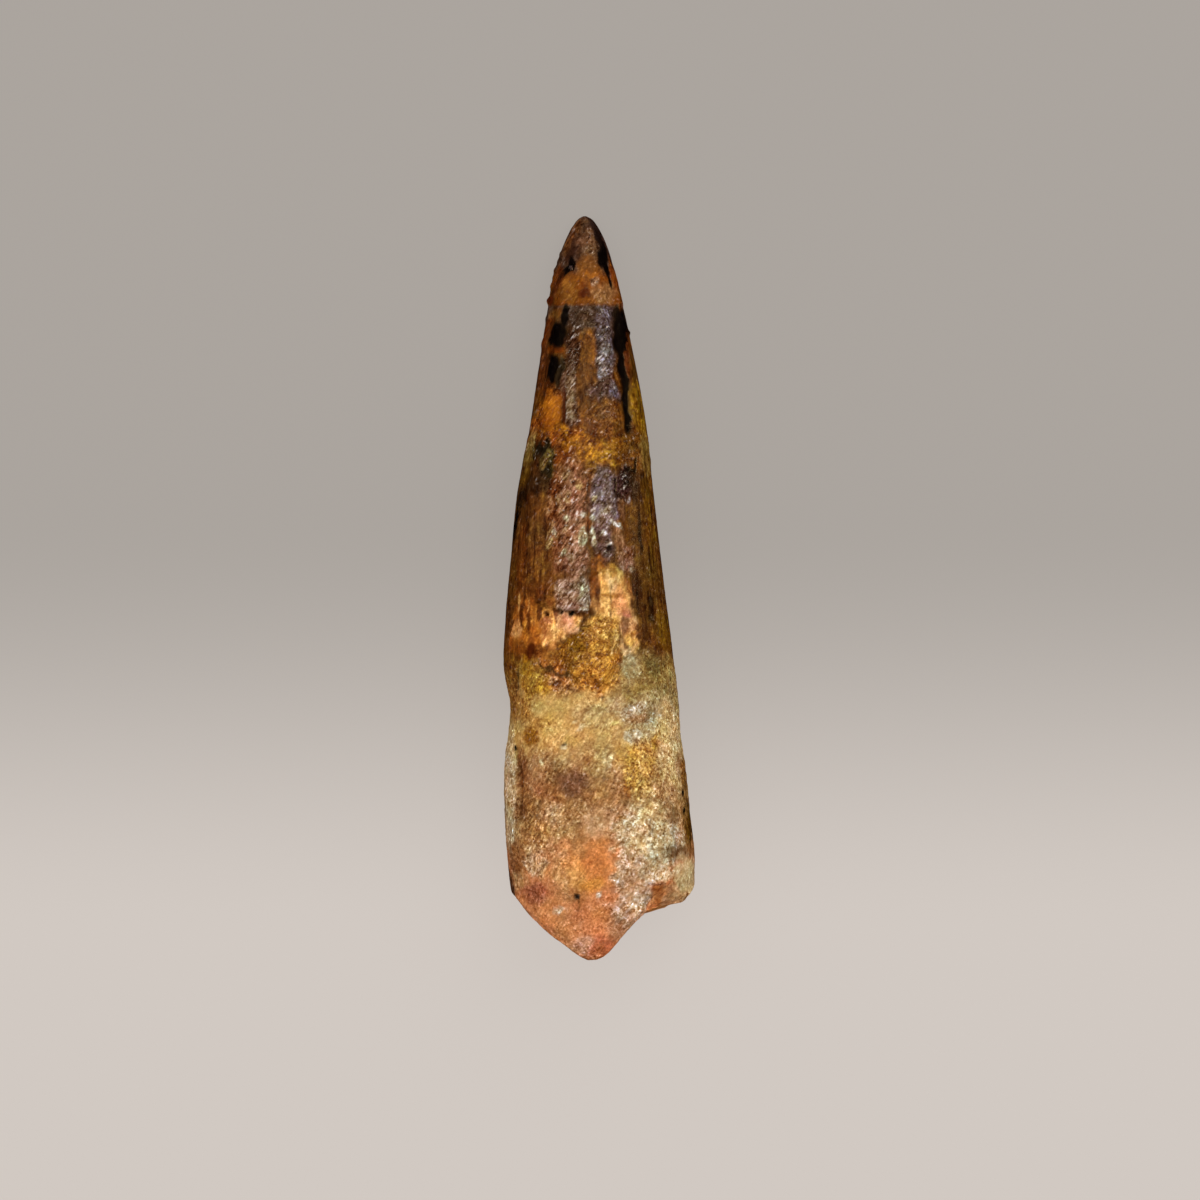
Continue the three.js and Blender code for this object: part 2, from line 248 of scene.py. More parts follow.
def value_noise(points, size, seed):
    """Smooth random values, in lumps about size millimetres across."""
    scaled = points / size
    cell = np.floor(scaled)
    fx, fy, fz = np.moveaxis(scaled - cell, -1, 0)
    i, j, k = np.moveaxis(cell.astype(np.int64).astype(np.uint64), -1, 0)
    fx, fy, fz = (f * f * (3 - 2 * f) for f in (fx, fy, fz))
    here, next_one = np.uint64(0), np.uint64(1)
    total = 0
    for di, wx in ((here, 1 - fx), (next_one, fx)):
        for dj, wy in ((here, 1 - fy), (next_one, fy)):
            for dk, wz in ((here, 1 - fz), (next_one, fz)):
                total = total + wx * wy * wz * lattice(i + di, j + dj, k + dk, seed)
    return total


def rough_noise(points, size, seed, octaves=3):
    """Noise with finer noise on it."""
    total, whole = 0, 0
    for octave in range(octaves):
        share = 0.5 ** octave
        total = total + share * value_noise(points, size * share, seed + octave)
        whole += share
    return total / whole


def stretched(points, squeeze):
    """Points squeezed along the tooth, so that noise made from them is drawn out along it."""
    return points * np.array([1, squeeze, 1])


# ---- the surface's points --------------------------------------------------------------------------------

TOP_COLUMNS = 152
UNDER_COLUMNS = 80
COLUMNS = TOP_COLUMNS + UNDER_COLUMNS
SIDE_BANDS = ((TIP_Y, 46.6, 10), (46.6, 43, 20), (43, BREAK_START_Y, 332))  # from, to, rings
BREAK_ZONE_RINGS = 40
BREAK_RINGS = 22
EDGE_PUSH = 0.45  # how far noise pushes the enamel's edge


def column_angles():
    """Angles round the tooth, from the middle of its underside, closer together on its top."""
    under = np.linspace(-math.pi / 2, 0, UNDER_COLUMNS // 2, endpoint=False)
    top = np.linspace(0, math.pi, TOP_COLUMNS, endpoint=False)
    under_left = np.linspace(math.pi, 1.5 * math.pi, UNDER_COLUMNS // 2, endpoint=False)
    return np.concatenate([under, top, under_left])


def side_points(angles):
    """Rings of points from the tip to the broken edge, with a rounded lip there."""
    bands = [np.linspace(start, end, rings, endpoint=False) for start, end, rings in SIDE_BANDS]
    y = np.repeat(np.concatenate(bands)[:, None], COLUMNS, axis=1)
    degrees = np.degrees(angles)
    broken_y = smooth_curve(np.where(degrees > 180, degrees - 360, degrees), BREAK_EDGE, 1)
    share = np.linspace(0, 1, BREAK_ZONE_RINGS + 1)[:, None]
    y = np.concatenate([y, BREAK_START_Y + share * (broken_y - BREAK_START_Y)])
    angle = np.broadcast_to(angles, y.shape)
    smooth = base_form(angle, y)
    push = [EDGE_PUSH * value_noise(smooth, size, seed) for size, seed in ((1.6, 5), (1.3, 6))]
    side = base_form(angle, y, push)
    zone = side[-len(share):]
    inward = BREAK_MIDDLE - zone
    inward[..., ALONG] = 0
    inward /= np.linalg.norm(inward, axis=-1, keepdims=True)
    zone += LIP_DEPTH * ramp(share, *LIP_ZONE)[..., None] * inward
    return side


def face_points(rim):
    """Rings of points across the broken face, from just inside its rim to near its middle."""
    out = np.linspace(1, 0, BREAK_RINGS + 1)[1:-1, None, None]
    face = BREAK_MIDDLE + (rim - BREAK_MIDDLE) * out
    share = out[..., 0]
    slope = BREAK_MIDDLE[ALONG] + (rim[:, ALONG] - BREAK_MIDDLE[ALONG]) * share ** BREAK_HOLLOWNESS
    face[..., ALONG] = slope - BOSS_HEIGHT * ramp(share, *BOSS_SLOPE)
    return face


def grid():
    """Rings of points from the tip to the middle of the broken face, their angles, and 1 on that face."""
    angles = column_angles()
    side = side_points(angles)
    points = np.concatenate([side, face_points(side[-1])])
    on_face = np.zeros(points.shape[:-1])
    on_face[len(side):] = 1
    return points, np.broadcast_to(angles, on_face.shape), on_face


def grid_normals(points):
    """The directions straight out of the surface."""
    round_it = np.roll(points, -1, axis=1) - np.roll(points, 1, axis=1)
    down_it = np.gradient(points, axis=0)
    normal = np.cross(round_it, down_it)
    return normal / np.maximum(np.linalg.norm(normal, axis=-1, keepdims=True), 1e-12)


# ---- colours and finishes --------------------------------------------------------------------------------

def linear(colour):
    """A screen colour, of parts from 0 to 255, as linear light."""
    values = np.array(colour) / 255
    return np.where(values <= 0.04045, values / 12.92, ((values + 0.055) / 1.055) ** 2.4)


# Screen colours, each of red, green and blue from 0 to 255.
BLACK = (10, 4, 2)
BLACK_BROWN = (34, 18, 7)
PURPLE_BLACK = (44, 26, 20)
DARK_RED = (74, 25, 3)
DARK_BROWN = (62, 32, 4)
RED_BROWN = (114, 51, 5)
BROWN = (102, 57, 8)
BROWN_GREY = (82, 54, 36)
OLIVE_BROWN = (98, 62, 7)
OLIVE = (130, 86, 8)
OLIVE_DARK = (50, 38, 12)
BLACK_OLIVE = (34, 24, 12)
GREY_PURPLE = (106, 90, 90)
PURPLE_BROWN = (84, 54, 42)
GREY_TAN = (158, 128, 92)
ORANGE = (178, 100, 6)
ORANGE_BROWN = (114, 58, 6)
ORANGE_TAN = (134, 84, 17)
PINK_BROWN = (144, 98, 56)
PALE_GREEN = (182, 172, 130)
CREAM = (230, 172, 86)
PEACH = (232, 162, 98)
STRIPE_ORANGE = (172, 92, 11)
OCHRE = (176, 114, 17)
YELLOW_OCHRE = (176, 124, 11)
PALE_TAN = (200, 164, 100)
PALE_FLECK = (194, 152, 100)
GREEN_GREY = (180, 154, 104)
GREY_OLIVE = (148, 118, 55)
MAUVE = (156, 98, 46)
MAUVE_TAN = (170, 122, 76)
BEIGE = (184, 138, 82)
SALMON = (208, 128, 62)
SALMON_DEEP = (200, 112, 48)
SALMON_PINK = (214, 134, 78)
PINK_RED = (182, 100, 62)
WHITE_CRUST = (222, 200, 156)
WHITE_GREEN = (212, 202, 166)
HOLE_SHADE = (46, 36, 24)
STROKE = (238, 216, 160)
# The colour of painted highlights.
SHEEN = (170, 162, 166)

# How a surface looks and feels apart from its colour. rough is the shader's roughness, and the others are
# shares: mottling, pale flecks with dark veins and painted glints and highlights, lengthwise streaks, and
# grains. They are from 0 to 1, but grains of 2 also break a surface into crumbs.
Finish = namedtuple("Finish", "rough mottle flecks streaks grains")
MOTTLE, STREAKS, GRAINS = map(Finish._fields.index, ("mottle", "streaks", "grains"))
GLAZE = Finish(0.2, 0.5, 0.1, 0.3, 0.05)
ENAMEL = Finish(0.25, 0.8, 0.3, 1.0, 0.3)
RESIN = Finish(0.2, 0.4, 0.35, 0.2, 0.1)
STAIN = Finish(0.22, 1.0, 0.6, 0.3, 0.8)
SHELL = Finish(0.14, 1.0, 0.9, 0.25, 0.4)
SAND = Finish(0.22, 0.7, 0.6, 0.0, 1.1)
DENTINE = Finish(0.24, 0.7, 0.25, 0.35, 0.45)
ROOT = Finish(0.28, 0.6, 0.4, 0.1, 1.0)
WORN = Finish(0.3, 0.4, 0.2, 0.1, 0.65)
FIBRE = Finish(0.28, 0.7, 0.6, 0.6, 1.1)
CRUST = Finish(0.25, 0.5, 0.3, 0.0, 2.0)

Mark = namedtuple("Mark", "colour finish x y across along turn soft ragged cover square")


def mark(colour, finish, x, y, across, along, turn=0, soft=0.5, ragged=1.0, cover=1.0, square=False):
    """A marking, with its middle and half sizes in picture pixels, turned clockwise by turn degrees.
    soft is the share of its size that its edge takes up, ragged how much the edge wanders, and cover how much
    it hides of what lies under it. A square one has straight sides."""
    return Mark(linear(colour), finish, x, y, across, along, turn, soft, ragged, cover, square)


# Bands from the tip down: the picture's y where each begins, how soft the change to it is, and its look.
Zone = namedtuple("Zone", "start soft colour finish")
ZONES = (
    Zone(0, 1, BROWN_GREY, ENAMEL),
    Zone(272, 6, ORANGE_BROWN, RESIN),
    Zone(305.5, 1.2, BROWN_GREY, ENAMEL),
    Zone(328, 12, BROWN, ENAMEL),
    Zone(434, 6, ORANGE_BROWN, STAIN),
    Zone(464, 8, BROWN, ENAMEL),
    Zone(658, 12, (150, 104, 34), ROOT),
    Zone(682, 14, (210, 162, 88), WORN),
    Zone(762, 22, BEIGE, ROOT),
    Zone(845, 30, SALMON_PINK, WORN),
)

TIP_MARKS = (
    # The worn tip, and the amber band below it.
    mark((88, 54, 28), ENAMEL, 587, 240, 11, 18),
    mark((120, 86, 54), SHELL, 589, 246, 6, 12, soft=1.0, cover=0.6),
    mark((102, 58, 22), ENAMEL, 571.5, 237, 4.5, 18, 26, soft=0.8),
    mark((58, 30, 16), GLAZE, 570.5, 252, 4.5, 12, 20, soft=0.8),
    mark((96, 44, 8), ENAMEL, 557, 280, 4, 14, 14, soft=0.7),
    mark((122, 72, 24), RESIN, 589, 267, 12, 12, soft=0.8, ragged=0.8),
    mark((130, 80, 24), RESIN, 569, 289, 12, 11, soft=0.9, cover=0.7),
    mark((136, 90, 46), RESIN, 605, 292, 13, 10, soft=0.8, cover=0.9),
    mark((158, 92, 14), RESIN, 590, 275, 7, 3.6, soft=0.9, cover=0.7),
    mark(RED_BROWN, RESIN, 579, 286, 6, 3, cover=0.7),
    mark(DARK_RED, GLAZE, 584, 292.5, 7.5, 3.6, 8, soft=0.9, ragged=1.2, cover=0.9),
    # A painted highlight: the ring of glints on the amber band.
    mark(GREY_TAN, SHELL, 594, 281.5, 4, 4.4, ragged=0.7, cover=0.7),
    mark(PINK_BROWN, SHELL, 600, 296, 5, 3, -20, ragged=1.2, cover=0.5),
    # The black line down the tip, with its red side.
    mark(PURPLE_BLACK, GLAZE, 600, 237, 5, 24, -27, ragged=0.5),
    mark(PURPLE_BROWN, GLAZE, 608, 248, 2.6, 13, -22, cover=0.8),
    mark(BLACK, GLAZE, 599.5, 241, 3.4, 12, -20, ragged=0.7, soft=0.9, cover=0.7),
    mark(BLACK, GLAZE, 602.6, 257, 5, 12, -6, ragged=0.7),
    mark(BLACK, GLAZE, 607, 271, 2.8, 8, -24, ragged=0.5),
    mark(BLACK, GLAZE, 609.8, 280, 1.6, 9, -10, ragged=0.3),
    mark(RED_BROWN, ENAMEL, 613.5, 274, 3, 16, -14, soft=0.8),
    # The dark left edge.
    mark(BLACK, GLAZE, 571, 263, 4.4, 8, 6, ragged=0.8),
    mark(BLACK, GLAZE, 565, 273, 3.8, 10, 42, ragged=0.7),
    # A painted highlight: grey glints on the black.
    mark(GREY_PURPLE, SHELL, 570.5, 268, 1.8, 1.6, ragged=0.4, cover=0.7),
    mark(DARK_BROWN, GLAZE, 554.5, 291, 3.4, 15, 14, soft=0.9),
    mark(DARK_RED, GLAZE, 551, 300, 2.6, 5, 10, ragged=0.3),
    mark((86, 38, 8), ENAMEL, 558, 286, 4, 11, 14, soft=0.8, cover=0.7),
)

UPPER_CROWN_MARKS = (
    # Brown and grey patches.
    mark((76, 52, 36), STAIN, 588, 317, 24.5, 12, ragged=0.5, cover=0.9, square=True),
    mark(GREY_PURPLE, SHELL, 604, 312, 8, 7, cover=0.4),
    mark((108, 60, 14), ENAMEL, 555.5, 315, 7, 10, 12, soft=0.6),
    mark(RED_BROWN, ENAMEL, 546, 336, 4, 18, 14, soft=0.7),
    mark(ORANGE_BROWN, STAIN, 619, 309, 4, 6, -20),
    mark((118, 66, 12), ENAMEL, 586, 352, 11.5, 22),
    mark((142, 76, 10), ENAMEL, 591, 339, 6, 9, soft=0.9, cover=0.6),
    mark((104, 58, 14), ENAMEL, 584, 380, 11, 16, soft=0.7),
    mark(DARK_RED, ENAMEL, 577, 355, 4, 2.6, cover=0.6),
    mark(RED_BROWN, GLAZE, 555, 350, 10, 4, -8, ragged=0.5),
    # The black patches on the left, and the brown between them.
    mark(BLACK, GLAZE, 565.5, 316, 3.8, 11, 8, ragged=0.7),
    mark(BLACK, GLAZE, 557.6, 335.5, 10.4, 13.5, 18, ragged=0.6),
    mark(BLACK, GLAZE, 551.6, 371, 7.6, 18, 5, ragged=0.6),
    mark((42, 26, 9), ENAMEL, 560.5, 371, 4, 17, 6, ragged=0.6),
    mark(OLIVE_DARK, GLAZE, 548, 390, 4, 6, 20),
    mark((90, 44, 10), ENAMEL, 542, 368, 4, 28, 9, soft=0.7),
    mark((74, 46, 28), SHELL, 571.8, 353, 7.4, 27, 6, soft=0.4, ragged=0.8, cover=0.9),
    # Grey-violet columns: enamel with painted reflections of the lights, and painted highlights on the right
    # one.
    mark((98, 68, 46), SHELL, 570.5, 402, 8.5, 32, -3),
    mark(GREY_TAN, SHELL, 571.5, 398, 3.6, 28, -2, soft=1.0, cover=0.5),
    mark((92, 76, 72), SHELL, 605.5, 348, 9.5, 36, -3, ragged=0.7),
    mark(SHEEN, SHELL, 605.5, 353, 4.5, 6.5, soft=1.0, ragged=1.6, cover=0.5),
    mark(SHEEN, SHELL, 606, 371.5, 4, 6, soft=1.0, ragged=1.6, cover=0.5),
    mark(PURPLE_BROWN, SHELL, 602, 390, 16, 10, -14, soft=0.6),
    mark(GREY_PURPLE, SHELL, 614.5, 394, 6.5, 8.5, soft=0.7),
    mark(SHEEN, SHELL, 616, 390, 2.6, 2.6, ragged=1.2, cover=0.6),
    # Amber patches above the gold band.
    mark((122, 68, 15), STAIN, 601, 417, 20, 17, cover=0.85),
    mark((146, 86, 16), STAIN, 580, 432, 9, 9, soft=0.8),
    mark((92, 38, 2), DENTINE, 591, 425, 8, 7, soft=0.8, ragged=1.4, cover=0.85),
    mark(PINK_BROWN, SHELL, 604, 413, 8, 6, soft=1.0, cover=0.4),
    mark((94, 46, 8), STAIN, 552, 391, 9, 9, 14, soft=0.6),
    mark((150, 80, 10), RESIN, 551, 412, 12, 19, 12, soft=0.6, ragged=1.2),
    mark((196, 116, 20), RESIN, 549, 407, 9, 13, 12, soft=1.0, ragged=1.4, cover=0.65),
    mark((136, 72, 12), STAIN, 537, 424, 6, 14, 12),
    mark(DARK_RED, GLAZE, 564.5, 407, 1.8, 21, ragged=0.5, cover=0.9),
    # The black keel on the right, and the brown and olive beside it.
    mark(BLACK_BROWN, GLAZE, 618, 313, 7.5, 7, 20, soft=0.7),
    mark(BLACK, GLAZE, 620.6, 334, 8, 26, -5, ragged=0.6),
    mark(BLACK, GLAZE, 623.6, 368, 6, 20, -6, ragged=0.6),
    mark(BLACK, GLAZE, 627, 405, 5.4, 32, -3, ragged=0.7),
    mark(RED_BROWN, ENAMEL, 626.5, 362, 2.2, 12, -8, ragged=1.2, cover=0.7),
    mark(RED_BROWN, ENAMEL, 630, 350, 2.6, 18, -12, cover=0.7),
    mark((92, 56, 10), ENAMEL, 634, 368, 3.4, 24, -11, cover=0.9),
    mark(OLIVE, ENAMEL, 639, 412, 8, 30, -7),
    mark(YELLOW_OCHRE, ENAMEL, 642, 428, 4, 12, -7, soft=1.0, cover=0.5),
    # A brown patch on the left edge.
    mark((92, 46, 8), ENAMEL, 545, 393, 4, 12, 12, soft=0.8, cover=0.7),
)

GOLD_BAND_MARKS = (
    # The gold crust.
    mark((122, 56, 6), STAIN, 562, 443, 20, 14),
    mark(ORANGE, STAIN, 556, 430, 12, 7, cover=0.45),
    mark((122, 60, 12), STAIN, 562, 456, 10, 11),
    mark((158, 96, 12), STAIN, 575, 443, 13, 8, soft=0.6, ragged=1.4, cover=0.85),
    mark((140, 88, 12), STAIN, 598, 451, 28, 13),
    mark((168, 112, 16), STAIN, 597, 453, 13, 7, soft=0.9, ragged=1.8, cover=0.75),
    mark((160, 102, 18), STAIN, 578, 450, 5, 9, soft=0.8, ragged=1.4, cover=0.6),
    mark((136, 84, 12), STAIN, 588, 471, 9, 9, soft=0.6),
    mark(DARK_RED, STAIN, 592.5, 442, 4.4, 3.4, ragged=0.6),
    mark(DARK_RED, STAIN, 565, 441, 3, 2.6, ragged=0.6, cover=0.8),
    mark(DARK_RED, STAIN, 576, 457, 2.2, 6, cover=0.6),
    # Both ends of the band, with the black patch on its left.
    mark((102, 58, 8), STAIN, 630, 449, 16, 14, soft=0.6),
    mark((130, 92, 34), ENAMEL, 646, 455, 6, 20, -6, soft=0.8),
    mark(GREY_OLIVE, ENAMEL, 529.5, 452, 4.5, 20, 13, soft=0.8, cover=0.75),
    mark(OLIVE_DARK, SHELL, 542.5, 461, 12.5, 23, 8, soft=0.4, ragged=0.9),
    mark(BLACK_OLIVE, GLAZE, 540.5, 450, 6, 10, 12, soft=0.8, ragged=1.5, cover=0.9),
    mark(BLACK_OLIVE, GLAZE, 541, 471, 8, 8, 6, soft=0.8, ragged=1.5, cover=0.8),
    mark(GREY_OLIVE, SHELL, 546, 458, 4.4, 9, 8, ragged=1.6, cover=0.55),
    # A painted highlight: the column of glints across the band.
    mark(PINK_BROWN, SHELL, 572.5, 458, 3.5, 14, ragged=1.4, cover=0.7),
)

LOWER_CROWN_MARKS = (
    # The brown left side.
    mark((82, 42, 10), ENAMEL, 528, 492, 13, 32, 9, soft=0.7),
    mark((56, 32, 10), ENAMEL, 538, 486, 13, 12, 8, soft=0.8, cover=0.8),
    mark(BLACK_BROWN, GLAZE, 521.5, 502, 4, 15, 9, ragged=0.7, cover=0.9),
    mark(BLACK, GLAZE, 515.5, 528, 2, 22, 6, ragged=0.4),
    mark(OLIVE_BROWN, ENAMEL, 526, 470, 4, 18, 12, soft=0.8, cover=0.7),
    mark((100, 54, 12), ENAMEL, 532, 546, 17, 46, 4),
    mark((118, 66, 14), ENAMEL, 548, 572, 24, 18, soft=0.8, cover=0.8),
    mark((112, 54, 8), ENAMEL, 534, 594, 17, 10, soft=0.9, cover=0.7),
    mark(RED_BROWN, ENAMEL, 522, 560, 5, 30, 5, soft=0.9, cover=0.6),
    # The column of pinkish shell, partly a painted reflection of the lights, with its pale flecks and red
    # veins.
    mark((146, 90, 50), SHELL, 568, 518, 20, 56, 2, cover=0.95),
    mark((164, 114, 78), SHELL, 572, 518, 11, 36, 2, soft=0.9, ragged=1.6, cover=0.75),
    mark((188, 146, 92), SHELL, 566, 479, 6, 5, ragged=1.6, cover=0.65),
    mark((190, 140, 90), SHELL, 551, 503, 3.4, 7, 10, ragged=1.6, cover=0.75),
    mark((182, 142, 92), SHELL, 561, 507, 4, 5, ragged=1.6, cover=0.6),
    mark((192, 144, 88), SHELL, 552, 530, 3.4, 8, 10, ragged=1.6, cover=0.65),
    mark(DARK_RED, SHELL, 551, 488, 3, 9, 14, ragged=1.2, cover=0.75),
    mark(DARK_RED, SHELL, 560, 494, 2.2, 7, 30, ragged=1.2, cover=0.7),
    mark(DARK_RED, SHELL, 553, 517, 2.6, 6, 16, ragged=1.2, cover=0.75),
    mark(DARK_RED, SHELL, 572, 509, 2.4, 8, 36, ragged=1.2, cover=0.65),
    mark(DARK_RED, SHELL, 559, 541, 2.4, 7, 20, ragged=1.2, cover=0.7),
    mark(DARK_RED, SHELL, 573, 528, 2.2, 6, 30, ragged=1.2, cover=0.6),
    mark((120, 76, 46), SHELL, 578, 478, 12, 12, soft=0.9, cover=0.6),
    mark(PALE_FLECK, SHELL, 569, 497, 2.6, 3.6, 20, ragged=1.3, cover=0.7),
    mark(PALE_FLECK, SHELL, 564, 529, 3, 3.4, ragged=1.3, cover=0.65),
    mark((190, 146, 96), SHELL, 576, 544, 3, 4, 20, ragged=1.3, cover=0.6),
    mark((188, 146, 98), SHELL, 557, 561, 3, 2.6, ragged=1.3, cover=0.6),
    mark(RED_BROWN, SHELL, 556, 500, 4, 18, 6, ragged=1.4, cover=0.6),
    mark(RED_BROWN, SHELL, 574, 500, 3, 12, 30, ragged=1.6, cover=0.6),
    mark(DARK_RED, SHELL, 561, 568, 7, 4, 25, cover=0.5),
    mark((156, 108, 76), SHELL, 577, 560, 13, 20, cover=0.8),
    # The grey-violet column: enamel with a painted reflection of the lights, and painted highlights.
    mark((104, 86, 82), SHELL, 604, 498, 14.4, 30, -4, soft=0.4, ragged=0.7),
    mark((118, 92, 84), SHELL, 604, 478, 13, 9, soft=0.6, cover=0.8),
    mark((156, 132, 116), SHELL, 605, 521, 8, 8, soft=1.0, ragged=1.4, cover=0.6),
    mark((98, 72, 66), SHELL, 604, 544, 10, 20, -16, ragged=0.8, cover=0.85),
    mark((140, 92, 54), ENAMEL, 619, 545, 5, 20, -10, soft=0.8, cover=0.85),
    mark((138, 92, 66), SHELL, 627, 561, 8, 13, -12, soft=0.7, cover=0.85),
    mark(PINK_BROWN, ENAMEL, 621, 508, 3, 12, -4, cover=0.9),
    # The dark patch on the right, with its black hook.
    mark((62, 36, 30), SHELL, 626, 483, 12.5, 18.5, -8, soft=0.8, ragged=1.2),
    mark(BLACK_BROWN, SHELL, 629, 477, 7, 11, -10, soft=0.9, ragged=1.2, cover=0.8),
    mark(BLACK_BROWN, SHELL, 618, 492, 4, 4, soft=0.7, cover=0.8),
    mark((54, 30, 10), ENAMEL, 639, 489, 7.5, 20, -8, soft=1.0, ragged=1.5, cover=0.85),
    # A painted highlight on the dark patch.
    mark(SHEEN, SHELL, 630, 501, 1.6, 4, ragged=0.6, cover=0.6),
    mark(BLACK, GLAZE, 631, 467.5, 5.5, 2, ragged=0.7, soft=0.8, cover=0.9),
    mark(BLACK, GLAZE, 635.4, 463, 1.7, 7.5, ragged=0.6, soft=0.8, cover=0.9),
    # The brown right side.
    mark((96, 56, 12), ENAMEL, 648, 558, 15, 58, -5, cover=0.9),
    mark(OLIVE, ENAMEL, 650, 520, 4, 46, -6, soft=0.9, cover=0.5),
    mark(BLACK_BROWN, ENAMEL, 640, 534, 1.8, 24, -3, ragged=0.5, cover=0.8),
    mark(BLACK_BROWN, ENAMEL, 641, 566, 1.8, 20, -3, ragged=0.5, cover=0.7),
    mark((100, 62, 13), ENAMEL, 651, 600, 15, 46, -6, soft=0.6),
    mark((150, 88, 30), ENAMEL, 628.5, 586, 3, 10, -20, soft=0.8, cover=0.8),
    mark((62, 28, 4), ENAMEL, 637, 584, 4.6, 16, -14, soft=0.6),
    mark((64, 30, 4), ENAMEL, 641, 608, 4, 15, -12, soft=0.6),
    mark((168, 106, 42), ENAMEL, 631, 592, 3.8, 8, -20, soft=0.8, cover=0.8),
    mark((78, 42, 8), ENAMEL, 646, 630, 4, 16, -12, soft=0.6),
    mark(BLACK_BROWN, ENAMEL, 651.5, 611, 2.3, 14, -10, soft=0.6, cover=0.8),
    mark((100, 58, 12), ENAMEL, 653, 646, 9, 12, -8, soft=0.8),
    mark(OLIVE, ENAMEL, 664, 632, 5, 22, -8, soft=0.9, cover=0.6),
    # Pale green flecks, and the spots among them.
    mark(PALE_GREEN, SHELL, 583.3, 538, 4.8, 9.5, 4, ragged=0.5, cover=0.95),
    mark((150, 140, 116), SHELL, 583, 541, 2.2, 4.6, 4, ragged=0.4, cover=0.8),
    mark(PALE_GREEN, SHELL, 594.4, 538, 2.4, 9, -8, ragged=0.5, cover=0.8),
    mark((196, 162, 96), SHELL, 577.8, 485, 3, 5, -20, ragged=0.7, cover=0.8),
    mark(PALE_GREEN, SHELL, 565.5, 518, 3.2, 2.6, 10, ragged=0.7, cover=0.75),
    mark((190, 158, 96), SHELL, 549.5, 545, 2.6, 5.6, 30, ragged=0.7, cover=0.8),
    mark(PALE_GREEN, SHELL, 554, 532, 2, 3.6, 20, ragged=0.7, cover=0.5),
    mark(PALE_GREEN, SHELL, 563, 553, 2.8, 3.4, -20, ragged=0.7, cover=0.8),
    mark(GREY_TAN, SHELL, 570, 559, 5, 3.4, 40, ragged=0.7, cover=0.8),
    mark((94, 64, 42), SHELL, 590, 505, 5, 6, soft=0.8, ragged=1.2, cover=0.6),
    mark(WHITE_GREEN, SHELL, 584.5, 515, 3, 3.2, ragged=0.8, cover=0.55),
    mark(WHITE_GREEN, SHELL, 593, 509.5, 2.6, 3.2, ragged=0.7, cover=0.55),
    mark(WHITE_GREEN, SHELL, 593, 518.5, 2.4, 3.4, ragged=0.5, cover=0.75),
    mark((170, 150, 96), SHELL, 594, 496.5, 2.6, 3, ragged=0.6, cover=0.8),
    # The next two are painted highlights on the grey-violet column.
    mark(SHEEN, SHELL, 602, 494, 1.4, 4.6, ragged=0.5, cover=0.6),
    mark(WHITE_GREEN, SHELL, 606, 512, 5.4, 4.6, -25, ragged=1.4, soft=0.9, cover=0.6),
    mark(WHITE_GREEN, SHELL, 615.5, 526, 2, 8, -52, ragged=0.8, cover=0.85),
    mark(WHITE_GREEN, SHELL, 604, 533.5, 3, 2.6, ragged=0.5, cover=0.7),
    mark(RED_BROWN, ENAMEL, 589, 527, 2.6, 7, ragged=0.8, cover=0.8),
    mark((196, 168, 140), SHELL, 610, 545, 3.4, 2, ragged=0.5, cover=0.8),
    mark(BLACK_BROWN, GLAZE, 610, 549, 2.8, 2.8, ragged=0.3),
    # The orange stripe, and the loose square of enamel below it.
    mark((120, 62, 8), ENAMEL, 597, 563, 9, 8, -30, soft=0.6),
    mark(STRIPE_ORANGE, ENAMEL, 600, 569, 7, 3, -30, soft=0.8, cover=0.7),
    mark((178, 136, 104), SHELL, 573, 595, 17.5, 15.5, soft=0.2, ragged=0.3, cover=0.95, square=True),
    mark(PURPLE_BROWN, SHELL, 570, 587, 8, 5, soft=0.9, cover=0.25),
    mark((142, 130, 106), SHELL, 583.5, 594, 7, 16, soft=0.6, ragged=0.8, cover=0.8),
    mark((88, 74, 54), SHELL, 585, 598, 3, 5, soft=0.8, cover=0.7),
    mark(PALE_GREEN, SHELL, 580.5, 593, 2, 8, 10, ragged=0.8, cover=0.8),
    mark(PALE_GREEN, SHELL, 587, 587, 1.4, 4, ragged=0.5, cover=0.6),
    mark((112, 62, 28), SHELL, 591.5, 596, 2.8, 9, soft=0.7, cover=0.8),
    mark(PALE_GREEN, SHELL, 588, 604, 1.6, 5, ragged=0.4, cover=0.75),
    mark((98, 60, 34), SHELL, 575, 606, 9, 4.5, soft=0.9, ragged=1.3, cover=0.6),
    mark(PALE_GREEN, SHELL, 583, 608.5, 6, 1.3, ragged=0.3, cover=0.6),
    mark(GREY_TAN, SHELL, 631.5, 570.5, 3.2, 3.2, -35, cover=0.8),
)

